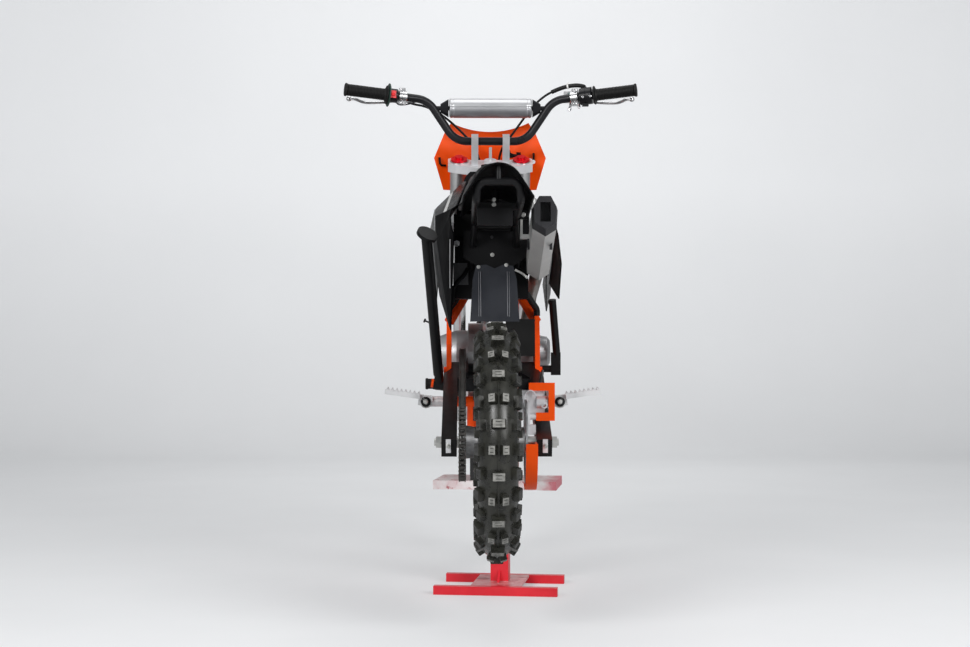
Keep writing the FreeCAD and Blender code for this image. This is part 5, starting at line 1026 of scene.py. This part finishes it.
def airbox_details():
    """Ribbed vent and breather hose beside the mud flap, and the dark wall up to the seat's base."""
    mesh = Mesh()
    middle, half = (VENT_LOW + VENT_HIGH) / 2, (VENT_HIGH - VENT_LOW) / 2
    for i in range(VENT_RIBS):
        x = VENT_LEFT + (VENT_RIGHT - VENT_LEFT) * (i + 0.5) / VENT_RIBS
        mesh.block((x, -0.332, middle), (0.0018, 0.003, half), 1)
    mesh.block(((VENT_LEFT + VENT_RIGHT) / 2, -0.3306, middle),
               ((VENT_RIGHT - VENT_LEFT) / 2 + 0.002, 0.001, half + 0.002), 1)
    mesh.tube(smooth_path(BREATHER), 0.005, 12)
    mesh.block((-0.005, -0.25, 0.919), (0.093, 0.002, 0.036))
    mesh.make("airbox_vent", "chassis", "black_plastic", ("airbox_grey",))


# Mud flap: the rear face at its top edge, and how far it leans back for each metre down
FLAP_FACE_Y = -0.4147
FLAP_TOP_Z = 0.8173
FLAP_LEAN = 0.21
# across, radius
FLAP_WELTS = ((-0.033, 0.0013), (0.03, 0.0013), (-0.0375, 0.0009), (0.0345, 0.0009))
FLAP_WELT_HEIGHTS = (0.806, 0.79, 0.775, 0.76, 0.745, 0.73, 0.715, 0.7)


def flap_details():
    """Moulded welts down the mud flap and the bent edges' creases, coloured paler and bluer than the flap as painted
    sheen.
    """
    mesh = Mesh()
    for across, radius in FLAP_WELTS:
        mesh.tube([(across, FLAP_FACE_Y - (FLAP_TOP_Z - z) * FLAP_LEAN - 0.0004, z) for z in FLAP_WELT_HEIGHTS],
                  radius, 8)
    mesh.make("flap_welts", "chassis", "flap_painted_sheen")


def silencer_details():
    """The two strap ends on the silencer's sides."""
    mesh = Mesh()
    mesh.block((0.0748, -0.56, 0.866), (0.003, 0.008, 0.016), 1)
    mesh.block((0.1215, -0.63, 0.864), (0.003, 0.005, 0.018), 1)
    mesh.make("silencer_strap", "chassis", "silencer_alloy", ("cap_black",))


PEG_HINGE = (0.168, -0.16, 0.49)
PEG_SPRING_RADIUS = 0.015
PEG_SPRING_PITCH = 0.00572
PEG_SPRING_TURNS = 6
GEAR_TOE = (-0.141, 0.042, 0.529)


def peg_details():
    """Pivot pins and return springs of the footpegs, and the gear lever's rubber toe."""
    mesh = Mesh()
    bright, black, rubber = range(3)
    for side in (-1, 1):
        hinge = Vector((side * PEG_HINGE[0], *PEG_HINGE[1:]))
        mesh.turned(shifted(hinge, 0, -0.022, 0), -Y_AXIS, ((0, 0.0125), (0.004, 0.0125), (0.005, 0.0112)), 24,
                    mark=black)
        mesh.bolt(shifted(hinge, 0, -0.027, 0), -Y_AXIS, 0.0062, 0.005, bright)
        mesh.tube([shifted(hinge, math.cos(turn * math.tau) * PEG_SPRING_RADIUS, -0.018 + PEG_SPRING_PITCH * turn,
                           math.sin(turn * math.tau) * PEG_SPRING_RADIUS)
                   for turn in (i / 12 for i in range(12 * PEG_SPRING_TURNS + 1))], 0.0017, 8, bright)
    mesh.turned(GEAR_TOE, -X_AXIS,
                ((0, 0.0113), (0, 0.0136), (0.026, 0.0136), (0.0275, 0.015), (0.032, 0.015), (0.0335, 0.0136)), 24,
                mark=rubber)
    mesh.make("peg_hinges", "chassis", "zinc_steel", ("frame_black", "grip_rubber"))


ADJUSTER = (0.1065, -0.6765, 0.412)


def swingarm_details():
    """Chain adjusters in the swingarm's tail."""
    mesh = Mesh()
    for side in (-1, 1):
        centre = Vector((side * ADJUSTER[0], *ADJUSTER[1:]))
        mesh.block(centre, (0.0055, 0.003, 0.015), 1)
        mesh.tube([centre, shifted(centre, 0, -0.016, 0)], 0.0032, 10)
        mesh.bolt(shifted(centre, 0, -0.003, 0), -Y_AXIS, 0.0056, 0.006)
        mesh.bolt(shifted(centre, 0, -0.016, 0), -Y_AXIS, 0.0048, 0.004)
    mesh.make("chain_adjusters", "chassis", "zinc_steel", ("clamp_alloy",))


CALIPER_PISTON = (0.089, -0.5935, 0.505)
CALIPER_CAP = (0.108, -0.606, 0.498)
CALIPER_PIN = (0.0735, -0.604, 0.4735)
BLEED_PIPE = ((0.064, -0.602, 0.495), (0.063, -0.608, 0.518), (0.07, -0.611, 0.53), (0.082, -0.611, 0.53),
              (0.088, -0.608, 0.52))
BRAKE_HOSE = ((0.096, -0.59, 0.519), (0.098, -0.57, 0.542), (0.106, -0.52, 0.56), (0.112, -0.44, 0.572))


def brake_details():
    """Piston body, cap, pin, bleed pipe and hose of the rear caliper."""
    mesh = Mesh()
    mesh.turned(CALIPER_PISTON, X_AXIS,
                ((0, 0.012), (0.002, 0.015), (0.02, 0.015), (0.0215, 0.013), (0.027, 0.013), (0.028, 0.01)), 28)
    mesh.turned(CALIPER_CAP, -Y_AXIS, ((0, 0.007), (0.003, 0.007), (0.0034, 0.004)), 18, closed=True)
    mesh.turned(CALIPER_PIN, X_AXIS, ((0, 0.006), (0.001, 0.0076), (0.017, 0.0076), (0.018, 0.006)), 20)
    mesh.tube(smooth_path(BLEED_PIPE), 0.0019, 8)
    mesh.tube(smooth_path(BRAKE_HOSE), 0.0034, 10, 1)
    mesh.make("caliper_pistons", "chassis", "clamp_alloy", ("cable_black",))


PLATE_HOOKS = (((-0.1415, 0.29, 1.157), (-0.14, 0.289, 1.14), (-0.136, 0.291, 1.135), (-0.124, 0.297, 1.1345)),
               ((0.123, 0.296, 1.17), (0.123, 0.295, 1.152), (0.119, 0.296, 1.147), (0.108, 0.301, 1.146)))
PLATE_BOLT = (0.1215, 0.295, 1.145)
LOOM = ((0.05, 0.27, 1.176), (0.056, 0.272, 1.164), (0.07, 0.276, 1.16), (0.086, 0.28, 1.162))
STEM_ROD = ((0, 0.223, 1.124), (0, 0.206, 1.158), (0, 0.199, 1.174))


def front_details():
    """Hooks and bolt of the number plate, the wires behind it, and the rod on the stem."""
    mesh = Mesh()
    silver = 1
    for hook in PLATE_HOOKS:
        mesh.tube(hook, 0.0032, 8)
    mesh.turned(PLATE_BOLT, -Y_AXIS, ((0, 0.006), (0.003, 0.006)), 16, mark=silver)
    mesh.tube(smooth_path(LOOM), 0.0048, 10)
    mesh.block((0.056, 0.27, 1.159), (0.0075, 0.006, 0.005))
    mesh.block((0.08, 0.28, 1.164), (0.006, 0.006, 0.006))
    mesh.tube(STEM_ROD, 0.0042, 12, silver)
    mesh.make("front_fasteners", "steering", "black_plastic", ("clamp_alloy",))


# Floor, lights and camera

FLOOR_HALF_WIDTH = 9.0
FLOOR_NEAR_Y = -9.0
SWEEP_START_Y = 4.5
SWEEP_RADIUS = 1.2
SWEEP_STEPS = 12
WALL_TOP = 7.0
# The floor's own glow for the camera, at the floor and at GLOW_TOP up the wall
GLOW_LOW, GLOW_HIGH, GLOW_TOP = 0.27, 0.46, 1.6
# name: place, size, power, aim
LAMPS = {
    "left_softbox": ((-2.2, -3.6, 2.2), 1.4, 88, (0, -0.4, 0.7)),
    "right_softbox": ((2.2, -3.2, 2.0), 1.4, 74, (0, -0.4, 0.7)),
    "overhead": ((0, 0.2, 3.8), 2.4, 34, (0, 0, 0.4)),
    "wall_light": ((0, 3.2, 3.4), 2.4, 26, (0, 5.7, 1.6)),
    "front_fill": ((0.6, 4.2, 2.4), 2.0, 12, (0, 0.3, 0.6)),
}


def floor_paint():
    """Pale matt paint that glows for the camera alone, more so up the wall."""
    material, tree, shader = new_material("floor_paint")
    height = split(tree, place(tree, "ShaderNodeNewGeometry").outputs["Position"])[2]
    level = spread(tree, height, GLOW_LOW, GLOW_HIGH, 0.0, GLOW_TOP)
    seen = place(tree, "ShaderNodeLightPath").outputs["Is Camera Ray"]
    feed(tree, shader, {"Base Color": clouded(tree, noise(tree, 1.2), (0.6, 0.605, 0.61), (0.63, 0.635, 0.64)),
                        "Roughness": 0.85, "Specular IOR Level": 0.1, "Emission Color": (0.9, 0.915, 0.94, 1),
                        "Emission Strength": calc(tree, "MULTIPLY", seen, level)})
    return material


def studio():
    world = bpy.data.worlds.new("studio")
    bpy.context.scene.world = world
    world.use_nodes = True
    feed(world.node_tree, world.node_tree.nodes["Background"], {"Color": (0.86, 0.88, 0.9, 1), "Strength": 0.34})
    line = [(FLOOR_NEAR_Y, 0.0), (SWEEP_START_Y, 0.0)]
    for i in range(1, SWEEP_STEPS + 1):
        angle = math.pi / 2 * i / SWEEP_STEPS
        line.append((SWEEP_START_Y + SWEEP_RADIUS * math.sin(angle), SWEEP_RADIUS * (1 - math.cos(angle))))
    line.append((SWEEP_START_Y + SWEEP_RADIUS, WALL_TOP))
    verts = [(x, y, z - 0.0005) for y, z in line for x in (-FLOOR_HALF_WIDTH, FLOOR_HALF_WIDTH)]
    faces = [(2 * i, 2 * i + 1, 2 * i + 3, 2 * i + 2) for i in range(len(line) - 1)]
    mesh = bpy.data.meshes.new("floor")
    mesh.from_pydata(verts, [], faces)
    mesh.polygons.foreach_set("use_smooth", [True] * len(mesh.polygons))
    mesh.materials.append(floor_paint())
    floor = new_object("floor", mesh)
    for name, (at, size, power, aim) in LAMPS.items():
        lamp = bpy.data.lights.new(name, "AREA")
        lamp.shape = "SQUARE"
        lamp.size = size
        lamp.energy = power
        thing = new_object(name, lamp)
        thing.location = at
        thing.rotation_euler = (Vector(aim) - Vector(at)).to_track_quat("-Z", "Y").to_euler()


def camera():
    lens = bpy.data.cameras.new("camera")
    lens.sensor_width = 36.0
    lens.lens = LENS_MM
    thing = new_object("camera", lens)
    thing.location = CAMERA_PLACE
    thing.rotation_euler = (math.radians(90 + CAMERA_PITCH_DEG), 0, math.radians(CAMERA_YAW_DEG))
    bpy.context.scene.camera = thing
    bpy.context.scene.view_settings.view_transform = "Standard"


dress_nodes()
camera()
studio()
cables()
tyres()
chain()
seat_cover()
bar_pad()
grips()
left_controls()
right_controls()
fasteners()
airbox_details()
flap_details()
silencer_details()
peg_details()
swingarm_details()
brake_details()
front_details()
